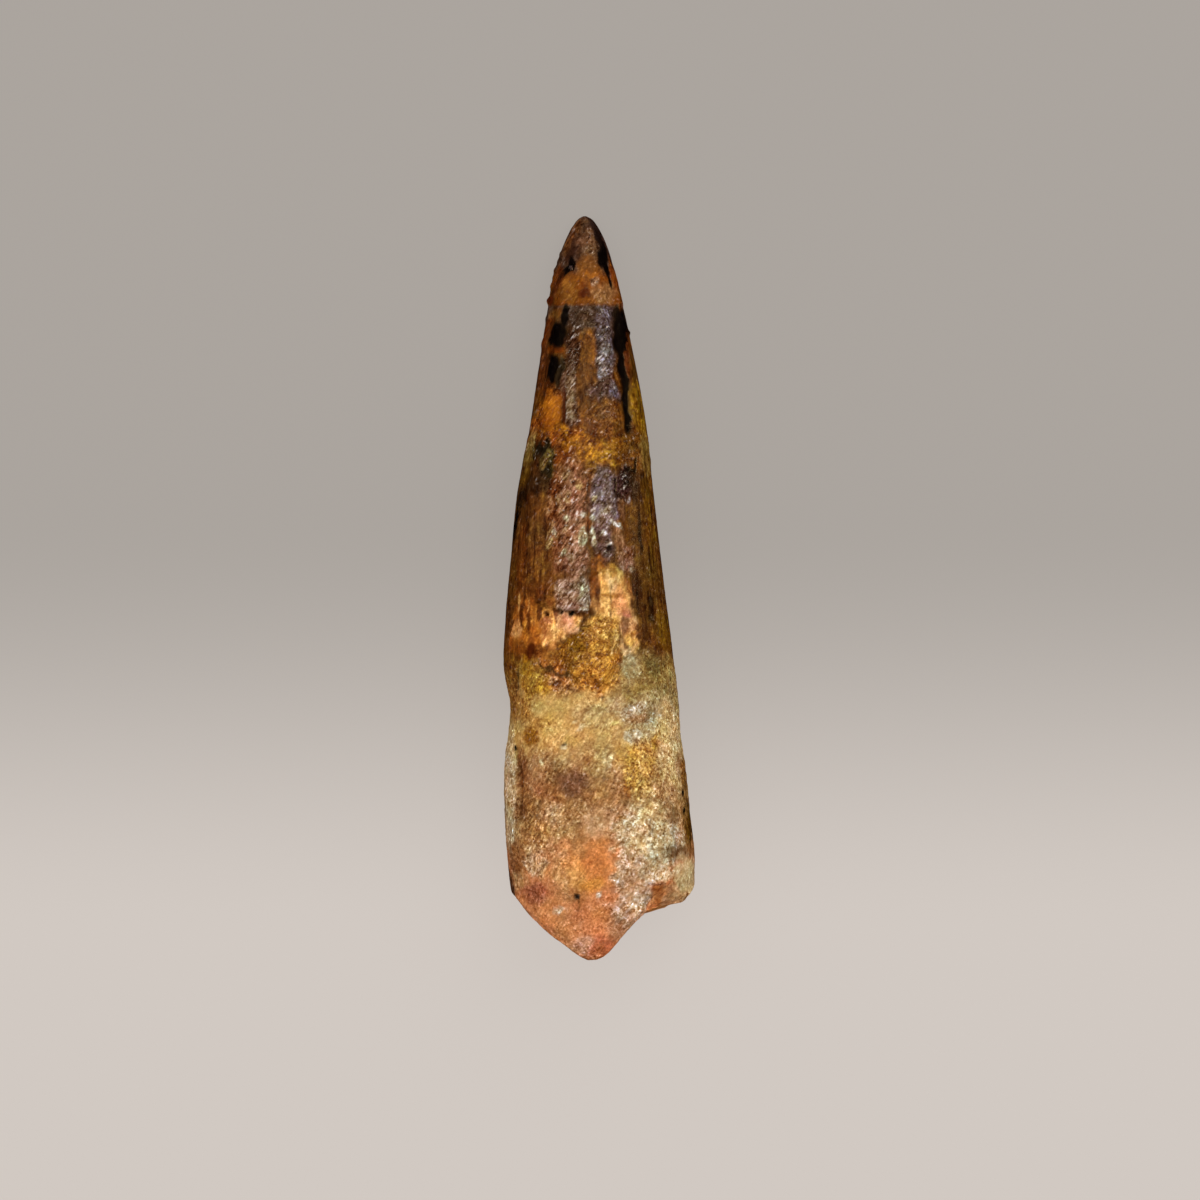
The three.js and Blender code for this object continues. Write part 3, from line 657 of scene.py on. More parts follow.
DENTINE_MARKS = (
    # The left of the dentine, and the cream tongue that runs up between the columns.
    mark((184, 104, 28), DENTINE, 527, 627, 24, 27),
    mark((120, 62, 10), DENTINE, 594, 586, 4.6, 21, ragged=0.8),
    mark(CREAM, DENTINE, 612, 584, 14, 14.5, -12, soft=0.25, ragged=0.6, square=True),
    mark(CREAM, DENTINE, 613.5, 606, 18.5, 16, soft=0.25, ragged=0.6, square=True),
    mark(PEACH, DENTINE, 622, 604, 9, 14, -14, soft=0.9, cover=0.7),
    mark((240, 160, 124), DENTINE, 626, 611, 5, 7, -20, soft=0.9, cover=0.6),
    mark((206, 144, 62), DENTINE, 602.5, 579, 5, 7, soft=1.0, ragged=1.6, cover=0.75),
    mark((250, 208, 144), DENTINE, 614, 584, 8, 9, -12, soft=0.9, ragged=1.6, cover=0.6),
    mark((170, 108, 20), DENTINE, 612, 596.5, 13, 2.2, 4, soft=0.8, cover=0.85),
    mark((196, 132, 40), DENTINE, 611, 571, 9, 2.4, 10, soft=0.9, ragged=1.6, cover=0.5),
    mark(OCHRE, DENTINE, 619, 586, 2, 8, -20, soft=0.9, cover=0.4),
    mark((116, 56, 6), DENTINE, 597, 587, 3, 14, ragged=0.8, cover=0.9),
    mark(DARK_RED, DENTINE, 598, 590, 2.6, 3.6, ragged=0.8, cover=0.8),
    mark((204, 142, 80), DENTINE, 629, 628, 8, 19, -12, ragged=0.9),
    mark(CREAM, DENTINE, 634, 644, 6, 12, -10, soft=0.4, ragged=1.4),
    mark((232, 176, 110), DENTINE, 629, 650, 10, 6, -20, ragged=1.4, cover=0.9),
    mark(PEACH, DENTINE, 624, 608, 7, 9, -20, soft=0.7, cover=0.9),
    mark((176, 96, 66), DENTINE, 628, 614, 4, 5.6, -30, soft=0.9, cover=0.7),
    mark((130, 82, 50), DENTINE, 624.8, 627, 3, 9, -4, ragged=1.2, cover=0.85),
    mark(DARK_RED, DENTINE, 629, 647, 2.8, 4, ragged=1.4, cover=0.7),
    mark((184, 100, 80), DENTINE, 628, 618, 2.6, 4, -30, ragged=1.2, cover=0.7),
    mark(OCHRE, DENTINE, 634, 634, 2.4, 3.4, ragged=0.6, cover=0.6),
    # The cream dentine under the ledge, and the pits in it.
    mark((160, 96, 32), DENTINE, 549, 606, 7, 7, soft=0.8, ragged=1.3, cover=0.8),
    mark((230, 152, 66), DENTINE, 547, 621, 8, 8.5, 6, ragged=1.6, cover=0.9),
    mark((232, 162, 80), DENTINE, 550, 633, 10, 13, 20, ragged=1.3),
    mark((242, 178, 98), DENTINE, 560, 634, 10.5, 10.5, 30, ragged=1.2),
    mark((240, 176, 116), DENTINE, 568, 623, 13, 11, 20, soft=0.35, ragged=0.9),
    mark((134, 72, 36), DENTINE, 555.4, 615, 2.4, 6, ragged=1.2, cover=0.85),
    mark((150, 74, 20), DENTINE, 541.5, 634, 2.4, 12, 6, ragged=1.4, cover=0.8),
    mark((244, 168, 128), DENTINE, 567, 621, 6, 5, soft=0.9, cover=0.7),
    mark(CREAM, DENTINE, 578, 619, 5, 5, soft=0.6, cover=0.8),
    mark((172, 112, 46), DENTINE, 593, 606, 4.6, 4.6, soft=0.8, ragged=1.2, cover=0.7),
    mark((136, 86, 20), ENAMEL, 646, 650, 4, 9, -12, soft=0.8, cover=0.8),
    mark((200, 128, 54), DENTINE, 552, 647, 4, 7, 10, soft=0.7, cover=0.8),
    mark((226, 152, 80), DENTINE, 516.5, 627, 5, 11, 3, ragged=0.8),
    mark((206, 128, 36), DENTINE, 526, 634, 2.6, 15, 2, ragged=0.8, cover=0.9),
    mark((206, 124, 34), DENTINE, 535, 632, 3, 14, 2, ragged=0.9, cover=0.85),
    mark(CREAM, DENTINE, 519.6, 604, 1, 9, 4, ragged=0.5, cover=0.7),
    mark(CREAM, DENTINE, 529, 606, 0.9, 6, 3, ragged=0.5, cover=0.5),
    mark(DARK_RED, DENTINE, 523.6, 613, 2, 13, 3, ragged=0.9, cover=0.85),
    mark(DARK_RED, DENTINE, 530.5, 622, 1.8, 14, 2, ragged=0.9, cover=0.75),
    mark(DARK_RED, DENTINE, 539, 615, 2.2, 9, ragged=0.9, cover=0.85),
    mark((212, 138, 52), DENTINE, 534.5, 618, 2, 9, 2, ragged=0.9, cover=0.7),
    mark(DARK_RED, DENTINE, 546, 615, 2.8, 2.8, ragged=0.5, cover=0.9),
    mark(BLACK, GLAZE, 546, 615.5, 1.1, 1.1, ragged=0.2, cover=0.8),
    mark(PINK_RED, DENTINE, 547, 625, 4.4, 4, ragged=1.2, cover=0.7),
    mark(PINK_RED, DENTINE, 562, 627, 4, 5, 20, ragged=1.3, cover=0.5),
    mark(BLACK, GLAZE, 572, 614, 3.8, 3, ragged=0.5),
    mark(BLACK_BROWN, GLAZE, 561.5, 614, 2.2, 3.4, ragged=0.5),
    # The left edge and the foot of the dentine.
    mark((100, 56, 14), ENAMEL, 508, 626, 3.6, 56, 1, soft=0.7),
    mark((146, 84, 22), DENTINE, 545, 656, 17, 8, 12, soft=0.8, cover=0.9),
    mark((122, 60, 8), DENTINE, 522, 650, 13, 9, soft=0.8, cover=0.85),
    mark(DARK_RED, GLAZE, 529, 652, 4.4, 9, 8, ragged=0.9, cover=0.85),
    mark(OCHRE, DENTINE, 524.5, 658, 2.4, 4.4, ragged=0.6, cover=0.9),
)

MATRIX_MARKS = (
    # The mound of sandstone.
    mark((156, 96, 24), SAND, 574, 662, 20, 16, 30, soft=0.4, ragged=1.2),
    mark((190, 126, 42), SAND, 596, 662, 25, 34, 6, soft=0.3, ragged=1.2),
    mark((196, 140, 56), SAND, 602, 628, 19, 12, soft=0.3, ragged=0.8),
    mark((204, 150, 78), SAND, 616, 642, 7, 10, soft=0.8, ragged=1.2, cover=0.8),
    mark((148, 92, 14), SAND, 578, 643, 9, 14, 38),
    mark((96, 56, 10), SAND, 586, 626.5, 6, 2.4, -10, ragged=0.6, cover=0.85),
    mark((104, 62, 12), SAND, 583.5, 620, 3.4, 2.2, ragged=0.6, cover=0.8),
    mark((204, 150, 62), SAND, 590.5, 623.4, 4, 1.5, 14, ragged=0.4, cover=0.8),
    mark((152, 96, 22), SAND, 570, 660, 16, 10, soft=1.0, cover=0.6),
    mark((206, 140, 48), SAND, 608, 676, 11, 12, 20, soft=0.9, cover=0.7),
    mark((188, 120, 42), SAND, 582, 686, 18, 8, soft=0.9, ragged=1.2, cover=0.8),
    mark((186, 112, 30), SAND, 617, 664, 5, 14, soft=0.9, cover=0.5),
    mark(RED_BROWN, SAND, 620.5, 664, 2, 9, ragged=0.7, cover=0.7),
    # Its lower left, with the dark line across it.
    mark((172, 106, 40), SHELL, 553, 677, 13, 22, -42, soft=0.8, cover=0.9),
    mark(BLACK_BROWN, GLAZE, 541, 664, 7, 2.9, 36, ragged=1.3, cover=0.85),
    mark(BLACK_BROWN, GLAZE, 551, 669, 8, 2.8, 24, ragged=1.5, cover=0.8),
    mark(BLACK_BROWN, GLAZE, 563, 675, 8, 2.7, 22, ragged=1.5, cover=0.75),
    mark(DARK_RED, SHELL, 554, 683, 6, 5, 20, ragged=2.2, cover=0.8),
    mark(DARK_RED, SHELL, 566, 691, 6, 5, 20, ragged=2.2, cover=0.7),
    # Both sides of the sandstone.
    mark((180, 128, 40), ROOT, 533, 680, 15, 17, soft=0.6, ragged=1.2),
    mark((198, 144, 34), ROOT, 543.5, 688, 7, 8, soft=1.0, cover=0.65),
    mark(YELLOW_OCHRE, ROOT, 527, 668, 5, 7, soft=0.9, cover=0.6),
    mark((150, 90, 12), FIBRE, 513, 690, 6, 32, soft=0.8, cover=0.8),
    mark((180, 120, 40), ROOT, 524, 708, 8, 14, soft=0.8, cover=0.8),
    mark(DARK_BROWN, ROOT, 518, 682, 1.6, 13, ragged=0.9, cover=0.7),
    mark((158, 122, 60), ROOT, 645, 678, 28, 24, soft=0.7),
    mark((92, 74, 32), ROOT, 653, 666, 8, 9, soft=1.0, cover=0.6),
    mark(PALE_GREEN, ROOT, 631, 668, 8, 14, soft=1.0, ragged=1.4, cover=0.45),
    mark((176, 142, 76), FIBRE, 672, 692, 6, 32, -6, soft=0.8, cover=0.85),
)

ROOT_MARKS = (
    # Grey, green and crusted patches below the sandstone.
    mark(GREY_OLIVE, ROOT, 640, 702, 34, 14, soft=0.8, cover=0.8),
    mark((206, 172, 112), ROOT, 617, 706, 10, 9, soft=0.9, cover=0.8),
    mark(GREEN_GREY, ROOT, 652, 718, 28, 24, soft=0.7, cover=0.9),
    mark(OLIVE_DARK, ROOT, 602.5, 697.5, 2, 1.6, ragged=0.5, cover=0.7),
    mark(WHITE_GREEN, CRUST, 632, 710, 13, 5, -25, ragged=1.4, cover=0.5),
    mark(MAUVE, ROOT, 638, 718, 13, 5, soft=0.8, cover=0.65),
    mark(WHITE_GREEN, CRUST, 633, 737, 7, 8, 20, ragged=1.1, cover=0.85),
    mark(WHITE_CRUST, CRUST, 655, 722, 11, 9, ragged=1.3, cover=0.4),
    # Ochre, mauve and gold patches.
    mark((160, 102, 22), ROOT, 531, 736, 8, 8.5, soft=0.8, ragged=0.6),
    mark(YELLOW_OCHRE, ROOT, 542, 722, 12, 5, -30, soft=1.0, cover=0.4),
    mark(YELLOW_OCHRE, ROOT, 572, 742, 10, 6, soft=1.0, cover=0.4),
    mark(PALE_TAN, ROOT, 595, 716, 22, 12, soft=1.0, cover=0.6),
    mark(MAUVE_TAN, ROOT, 545, 776, 26, 24, soft=0.8, cover=0.7),
    mark((172, 118, 64), ROOT, 606, 792, 26, 19, soft=0.8, cover=0.9),
    mark(MAUVE, ROOT, 564, 786, 25, 21, soft=0.8, cover=0.85),
    mark((122, 74, 50), ROOT, 572, 783, 16, 13, 20, soft=1.0, ragged=1.4, cover=0.7),
    mark((150, 92, 34), ROOT, 590, 765, 4.4, 10, -24, soft=0.9, cover=0.8),
    mark(GREEN_GREY, FIBRE, 608, 756, 5, 14, 10, soft=0.9, cover=0.5),
    mark((216, 166, 76), SAND, 641, 766, 18, 28, soft=0.7, ragged=1.2, cover=0.9),
    mark((196, 140, 44), SAND, 631, 768, 8, 22, soft=0.8, cover=0.7),
    mark(YELLOW_OCHRE, SAND, 657, 742, 7, 9, ragged=1.1, cover=0.8),
    mark(OCHRE, SAND, 650, 764, 5, 6, ragged=1.4, cover=0.5),
    mark((182, 136, 66), SAND, 660, 734, 8, 10, soft=0.9, ragged=1.4, cover=0.6),
    mark((224, 186, 120), ROOT, 671, 748, 12, 46, -4, soft=0.9, cover=0.9),
    mark((236, 200, 136), ROOT, 675, 756, 6, 16, -4, soft=0.9, cover=0.7),
    mark(MAUVE, ROOT, 655, 772, 6, 9, soft=1.0, cover=0.5),
    mark(STRIPE_ORANGE, SAND, 627, 790, 2.4, 12, -10, cover=0.6),
    mark((214, 170, 100), SAND, 657, 795, 9, 8, 20, soft=0.9, cover=0.6),
    # The left edge, and the fibres beside it.
    mark((228, 192, 140), ROOT, 510.5, 788, 6, 60, soft=0.4, ragged=0.6),
    mark((138, 80, 34), ROOT, 523, 778, 5, 32, -3, soft=0.9, ragged=1.2, cover=0.85),
    mark(RED_BROWN, ROOT, 520, 776, 1.8, 30, -3, soft=0.7, ragged=0.8, cover=0.7),
    mark(BLACK, GLAZE, 515.6, 748, 1.5, 2.4, ragged=0.2),
    mark((156, 100, 46), FIBRE, 532, 818, 16, 30, soft=0.8, cover=0.6),
    mark((120, 74, 34), ROOT, 523, 812, 5, 14, -6, soft=0.9, cover=0.6),
    mark(MAUVE, ROOT, 517, 858, 8, 20, soft=0.8, cover=0.8),
    mark(ORANGE_BROWN, ROOT, 515, 868, 3.2, 8, soft=0.8, cover=0.7),
    mark((214, 172, 116), FIBRE, 554, 815, 8, 17, 8, ragged=1.3, cover=0.75),
    mark((196, 140, 72), FIBRE, 539, 834, 8, 14, -10, ragged=1.2, cover=0.7),
    mark((216, 176, 124), FIBRE, 536, 861, 11, 17, -20, ragged=1.3, cover=0.75),
    mark((212, 156, 96), ROOT, 566, 872, 12, 26, soft=1.0, cover=0.8),
    # The salmon end.
    mark(SALMON, WORN, 592, 860, 25, 36, soft=1.0, cover=0.9),
    mark(SALMON_DEEP, WORN, 599, 862, 12, 22, soft=1.0, ragged=1.6, cover=0.35),
    mark((230, 160, 84), WORN, 576, 874, 8, 16, soft=1.0, ragged=1.4, cover=0.7),
    mark((226, 152, 64), WORN, 593, 885, 13, 7, soft=0.9, cover=0.9),
    mark((212, 162, 114), WORN, 597, 822, 18, 14, soft=1.0, cover=0.85),
    # The pale crust.
    mark((228, 204, 152), CRUST, 649, 842, 32, 34, 14, soft=0.4, ragged=1.6, cover=0.95),
    mark((214, 182, 126), CRUST, 653, 811, 12, 14, ragged=1.6, cover=0.75),
    mark(WHITE_GREEN, CRUST, 664, 860, 14, 12, soft=0.8, ragged=1.6, cover=0.8),
    mark(WHITE_CRUST, CRUST, 629, 830, 12, 17, soft=0.7, ragged=1.5, cover=0.4),
    mark(WHITE_GREEN, CRUST, 662, 840, 15, 18, soft=0.8, ragged=1.6, cover=0.5),
    mark((226, 196, 154), CRUST, 635, 878, 23, 19, ragged=1.6, cover=0.75),
    mark((218, 186, 152), CRUST, 632, 904, 15, 20, 24, soft=0.6, ragged=1.6, cover=0.85),
    mark(WHITE_CRUST, CRUST, 640, 906, 9, 10, 20, ragged=1.6, cover=0.5),
    mark((206, 156, 116), CRUST, 646, 850, 32, 40, ragged=3.4, cover=0.25),
    mark((172, 130, 80), CRUST, 661, 831, 8, 8, soft=0.9, ragged=1.6, cover=0.6),
    mark((208, 156, 122), CRUST, 630, 890, 20, 26, 20, ragged=3.4, cover=0.35),
    mark((194, 148, 96), ROOT, 673, 804, 9, 17, soft=0.6, cover=0.9),
    mark((150, 108, 60), ROOT, 674, 815, 6, 8, soft=0.9, cover=0.7),
    # The left edge by the broken end.
    mark((188, 146, 88), FIBRE, 519, 880, 6, 11, -10, soft=0.8, ragged=1.3, cover=0.5),
    mark(PINK_RED, ROOT, 535, 893, 14, 11, soft=0.7, cover=0.85),
    # The right edge, and the broken step.
    mark((152, 96, 36), ROOT, 683, 772, 4.4, 18, -8, soft=0.7),
    mark((146, 100, 44), ROOT, 687, 818, 5, 34, -4, soft=0.6),
    mark(OLIVE_BROWN, ENAMEL, 690, 826, 2.6, 26, -4, soft=0.6),
    mark((122, 82, 30), ENAMEL, 682, 853, 13, 8, soft=0.9, cover=0.85),
    mark(BLACK, GLAZE, 683, 793, 1.2, 3.6, ragged=0.3),
    mark(BLACK, GLAZE, 683.7, 810, 1.3, 3.2, ragged=0.3),
    mark((216, 184, 128), WORN, 686, 878, 12, 21),
    mark((190, 144, 92), ROOT, 679, 899, 12, 8, soft=0.6, cover=0.8),
    mark((230, 204, 160), CRUST, 655, 871, 19, 9, 8, soft=0.6, ragged=1.4, cover=0.9),
    mark((198, 142, 92), DENTINE, 668, 895, 14, 11, 10, ragged=0.8),
    mark((200, 126, 68), DENTINE, 659, 896, 9, 12, 14, ragged=0.8),
    mark((160, 84, 22), DENTINE, 657, 888, 6, 5.5, 20, soft=0.9, cover=0.85),
    mark(DARK_RED, SAND, 657, 881.5, 9, 1.7, 8, ragged=1.3, cover=0.75),
    mark((222, 194, 158), CRUST, 645, 901, 6, 8, 24, soft=0.7, ragged=1.2, cover=0.8),
    # The broken end.
    mark(BLACK_BROWN, ENAMEL, 511.5, 884, 2.4, 20, -12, soft=0.7, cover=0.85),
    mark(BLACK_BROWN, ENAMEL, 525, 912, 2, 14, -42, soft=0.7, cover=0.7),
    mark(PINK_RED, ROOT, 598, 948, 16, 10, soft=0.9, cover=0.9),
    mark(GREY_TAN, ROOT, 620, 925, 14, 14, 30, soft=0.9, cover=0.5),
    mark((226, 168, 134), ROOT, 556, 912, 5, 4, ragged=1.2, cover=0.6),
    mark((220, 170, 124), ROOT, 583, 944, 9, 9, soft=1.0, cover=0.7),
    mark((222, 196, 160), ROOT, 559, 910, 8, 3, -20, ragged=1.6, cover=0.6),
    mark(WHITE_CRUST, ROOT, 599.5, 895, 2.4, 3, ragged=0.3),
    # Small ones over the rest: an ochre spot, pale strokes, and painted shade in the round hole.
    mark((180, 132, 54), ROOT, 618, 758, 7, 10, soft=0.9, ragged=1.3, cover=0.7),
    mark(STROKE, WORN, 564, 748, 3.2, 1.6, 8, ragged=0.3, cover=0.9),
    mark(STROKE, WORN, 574, 722.5, 2.6, 1.6, -35, ragged=0.4, cover=0.8),
    mark(STROKE, WORN, 581.5, 726, 3.6, 2, 4, ragged=0.4, cover=0.9),
    mark(STROKE, WORN, 578, 730.5, 4, 1.5, -24, ragged=0.5, cover=0.7),
    mark((216, 194, 110), WORN, 616, 722, 4.4, 2, -30, ragged=0.5, cover=0.8),
    mark(STROKE, WORN, 609.8, 760, 1.7, 7, 6, ragged=0.3, cover=0.85),
    mark(STROKE, WORN, 541.3, 763, 1.6, 4, -26, ragged=0.3, cover=0.8),
    mark(OLIVE_DARK, ROOT, 565, 744.6, 2.8, 1.4, -6, ragged=0.3, cover=0.8),
    mark(HOLE_SHADE, ROOT, 576.5, 897, 3.5, 2.9, ragged=0.3),
    mark(MAUVE, ROOT, 578.7, 905, 0.8, 5, ragged=0.3, cover=0.8),
)

# Small pale specks in the left of the sandstone, painted glints on its crystals, with how far each is turned.
CRYSTAL_GLINT_MARKS = tuple(
    mark((224, 166, 104), SAND, x, y, 2.4, 1.8, turn, ragged=1.2, cover=0.75)
    for x, y, turn in (
        (540, 660, 60), (546, 674, 20), (549.5, 681, 40), (554, 677, 10), (558, 684, 50), (561, 678.5, -20),
        (553, 689, 30), (558.5, 691, 70), (563, 695, 10), (566, 686, 35), (569.5, 679.5, 0), (572, 690, 30),
    )
)

TOP_MARKS = (TIP_MARKS + UPPER_CROWN_MARKS + GOLD_BAND_MARKS + LOWER_CROWN_MARKS + DENTINE_MARKS
             + MATRIX_MARKS + CRYSTAL_GLINT_MARKS + ROOT_MARKS)

# The underside isn't in the picture, so its markings are of the same kinds, in places of their own.
UNDER_MARKS = (
    mark(BLACK, GLAZE, 590, 245, 9, 20, 10),
    mark(ORANGE_TAN, SAND, 584, 285, 20, 9),
    mark(BLACK, GLAZE, 573, 350, 9, 34, 8),
    mark(GREY_PURPLE, SHELL, 594, 372, 10, 36, -4),
    mark(ORANGE, SAND, 610, 412, 10, 16),
    mark(BLACK_BROWN, GLAZE, 560, 470, 9, 40, 6),
    mark(PINK_BROWN, SHELL, 592, 520, 18, 46),
    mark(OLIVE, ENAMEL, 622, 560, 12, 44, -4),
    mark(ORANGE_BROWN, DENTINE, 590, 636, 70, 18),
    mark(CREAM, DENTINE, 575, 636, 22, 14),
    mark(PEACH, DENTINE, 616, 646, 14, 12),
    mark(OCHRE, SAND, 600, 684, 28, 22, soft=0.2),
    mark(GREEN_GREY, ROOT, 560, 730, 26, 20),
    mark(MAUVE, ROOT, 600, 786, 30, 16, soft=0.8),
    mark(WHITE_CRUST, CRUST, 560, 836, 26, 30, ragged=1.6),
    mark(SALMON, ROOT, 610, 850, 26, 34, soft=0.8),
    mark(WHITE_CRUST, CRUST, 646, 812, 14, 22, ragged=1.6),
)

# Dark grooves: cracks, and lines of painted shade along edges. Width in pixels, depth in millimetres,
# darkness and points.
DarkGroove = namedtuple("DarkGroove", "width depth darkness points")
CRACKS_AND_SHADE_LINES = (
    DarkGroove(1.1, 0.12, 0.7, ((587, 485), (587.4, 510), (588.8, 540), (590, 575), (590.6, 618))),
    DarkGroove(1.0, 0.08, 0.8, ((611, 570), (610.5, 590), (611, 619))),
    DarkGroove(0.9, 0.08, 0.6, ((615, 468), (616, 480), (615.4, 492))),
    DarkGroove(0.9, 0.1, 0.5, ((578.5, 901), (579, 906), (578, 911))),
    # Painted shadow under the ledge of the enamel, in a shallow groove.
    DarkGroove(1.3, 0.1, 0.6, ((556, 611.5), (575, 612.5), (590, 612))),
    # Painted shade along the upper left edge of the sandstone, in a shallow groove.
    DarkGroove(1.0, 0.1, 0.45, ((561, 648), (566, 636), (580, 624), (583, 617), (600, 615))),
)

# ---- painting and roughening the surface -----------------------------------------------------------------

SIDE_FADE = (-0.2, 0.05)  # the sine of the angle where the underside's markings give way to the top's
EDGE_WANDER = ((2.4, 2.2), (1.7, 0.9), (1.0, 0.45))  # pixels, and the size of each noise in millimetres
FIBRE_WANDER_PX = 4.5  # further, up and down, where the crown is fibrous
FIBRES_ON_CROWN = (-16, -6)
EDGE_ROUGHNESS = 0.3  # by shares of a marking's size
EDGE_SEEDS = (110, 120, 130, 140, 150)
ROUND_POWER, SQUARE_POWER = 2, 5  # of the superellipse that a marking is
DARK_GROOVE_WANDER_PX = 1.2
DARK_GROOVE_DARKNESS = 0.8
# Painted shade and light by the relief: darker in low places, lighter on raised ones.
RELIEF_SHADING = 2.6  # how much darker a millimetre deeper is
SHADED_RELIEF = (-0.12, 0.08)

# The worn beads left on the cutting edges. An angle of 180 is the left edge.
Bead = namedtuple("Bead", "angle y height half_length")
BEADS = (
    Bead(180, 42.7, 0.11, 0.5),
    Bead(180, 41.7, 0.07, 0.35),
    Bead(180, 40.6, 0.13, 0.55),
    Bead(180, 39.6, 0.06, 0.35),
    Bead(180, 38.5, 0.13, 0.6),
    Bead(180, 36.6, 0.27, 0.65),
    Bead(180, 34.3, 0.12, 0.7),
    Bead(180, 31.1, 0.14, 0.9),
    Bead(0, 32.5, 0.2, 0.5),
)

# The raised bands: the picture's y where each begins and where it ends, and its height.
RaisedBand = namedtuple("RaisedBand", "start end height")
AMBER_BAND = RaisedBand((262, 274), (306.5, 304.5), 0.09)
GOLD_BAND = RaisedBand((434, 440), (470, 462), 0.06)
UNEVEN_ON_ROOT = (-6, -14)

FACE_HALF_WIDTH, FACE_HALF_DEPTH = 11, 9.5
FACE_LAYERS = 60  # radians of layering from the middle of the broken face to its edge
FACE_CORE = (0.5, 0.38)


def mix(old, new, share):
    """The old values with a share of the new ones in their place."""
    return old + (new - old) * (share[..., None] if np.ndim(old) > np.ndim(share) else share)


def paint_zones(points, py):
    """The base colours and finishes in bands down the tooth."""
    wobble = rough_noise(points, 2.4, 31) + 0.5 * rough_noise(points, 0.6, 32)
    first, *others = ZONES
    colour = np.broadcast_to(linear(first.colour), points.shape)
    finish = np.broadcast_to(first.finish, points.shape[:-1] + (len(first.finish),))
    for zone in others:
        share = ramp(py + wobble * zone.soft, zone.start - zone.soft, zone.start + zone.soft)
        colour = mix(colour, linear(zone.colour), share)
        finish = mix(finish, np.array(zone.finish), share)
    return colour, finish


def edge_warp(points):
    """How far the edges of markings wander, in pixels to the side and down."""
    to_side, down = (
        sum(far * value_noise(points, size, seed + i) for i, (far, size) in enumerate(EDGE_WANDER))
        for seed in (11, 21)
    )
    fibres = value_noise(stretched(points, 0.15), 0.55, 31)
    return to_side, down + FIBRE_WANDER_PX * fibres * ramp(points[..., ALONG], *FIBRES_ON_CROWN)


def mark_share(m, px, py, warp, edge_noise):
    """How much each point has of a marking, from 0 to 1."""
    turn = math.radians(m.turn)
    dx = px + m.ragged * warp[0] - m.x
    dy = py + m.ragged * warp[1] - m.y
    side = np.abs(dx * math.cos(turn) + dy * math.sin(turn)) / m.across
    down = np.abs(dx * math.sin(turn) - dy * math.cos(turn)) / m.along
    power = SQUARE_POWER if m.square else ROUND_POWER
    out = (side ** power + down ** power) ** (1 / power)
    out = out + EDGE_ROUGHNESS * m.ragged * edge_noise
    return ramp(out, 1 + m.soft / 2, 1 - m.soft / 2) * m.cover


def paint_marks(marks, px, py, where, warp, edges, colour, finish):
    """The colours and finishes with markings on them, each later one over the earlier ones."""
    for i, m in enumerate(marks):
        share = mark_share(m, px, py, warp, edges[i % len(edges)]) * where
        colour = mix(colour, m.colour, share)
        finish = mix(finish, np.array(m.finish), share)
    return colour, finish


def paint_face(points, share, colour, finish):
    """The broken face: dentine in thin layers round a core of sandstone."""
    x, _, z = np.moveaxis(points - BREAK_MIDDLE, -1, 0)
    out = np.hypot(x / FACE_HALF_WIDTH, z / FACE_HALF_DEPTH) + 0.08 * rough_noise(points, 2.2, 71)
    layers = 0.5 + 0.5 * np.sin(out * FACE_LAYERS + 3 * value_noise(points, 3, 72))
    dentine = mix(np.broadcast_to(linear(SALMON), points.shape), linear(CREAM), 0.55 * layers)
    core = ramp(out, *FACE_CORE)
    colour = mix(colour, mix(dentine, linear(OCHRE), core), share)
    finish = mix(finish, mix(np.broadcast_to(DENTINE, finish.shape), np.array(SAND), core), share)
    return colour, finish


def paint(points, top, on_face, px, py):
    """The colour and finish of each point, from the bands and the markings."""
    colour, finish = paint_zones(points, py)
    warp = edge_warp(points)
    edges = [rough_noise(points, 0.9, seed) for seed in EDGE_SEEDS]
    colour, finish = paint_marks(UNDER_MARKS, px, py, 1 - top, warp, edges, colour, finish)
    colour, finish = paint_marks(TOP_MARKS, px, py, top, warp, edges, colour, finish)
    return paint_face(points, on_face, colour, finish)


def dark_groove_share(dark_groove, px, py):
    """1 on the middle of a dark groove, and 0 away from it."""
    nearest = np.full(px.shape, np.inf)
    for (ax, ay), (bx, by) in zip(dark_groove.points, dark_groove.points[1:]):
        length = math.hypot(bx - ax, by - ay)
        along = np.clip(((px - ax) * (bx - ax) + (py - ay) * (by - ay)) / length ** 2, 0, 1)
        distance = np.hypot(px - ax - along * (bx - ax), py - ay - along * (by - ay))
        nearest = np.minimum(nearest, distance)
    return ramp(nearest, dark_groove.width, 0)


def dark_grooves_at(points, where, px, py):
    """How deep the cracks and the painted shade lines are at each point, in millimetres, and how dark, from 0
    to 1.
    """
    px = px + DARK_GROOVE_WANDER_PX * value_noise(points, 0.8, 51)
    shares = [dark_groove_share(dark_groove, px, py) * where for dark_groove in CRACKS_AND_SHADE_LINES]
    depth = sum(dark_groove.depth * share for dark_groove, share in zip(CRACKS_AND_SHADE_LINES, shares))
    darkness = np.max([dark_groove.darkness * share for dark_groove, share in zip(CRACKS_AND_SHADE_LINES, shares)], axis=0)
    return depth, DARK_GROOVE_DARKNESS * darkness


def hollow_depth(points, sin):
    """How deep the hollows are at each point, in millimetres."""
    wobble = 0.25 * rough_noise(points, 0.8, 61)
    depths = [
        hollow.depth * ramp(reach(hollow, points[..., SIDE], points[..., ALONG]) + wobble, *HOLLOW_SHOULDER)
        for hollow in HOLLOWS
    ]
    return np.max(depths, axis=0) * (sin > HOLLOWS_ABOVE)


def bead_height(points):
    """The beads on the cutting edges, as heights on the surface."""
    height = np.zeros(points.shape[:-1])
    for bead in BEADS:
        centre = base_form(np.array(math.radians(bead.angle)), np.array(bead.y))
        distance = np.linalg.norm(points - centre, axis=-1)
        height += bead.height * ramp(distance, bead.half_length, 0)
    return height


def raised(band, py):
    return band.height * ramp(py, *band.end) * ramp(py, *band.start)


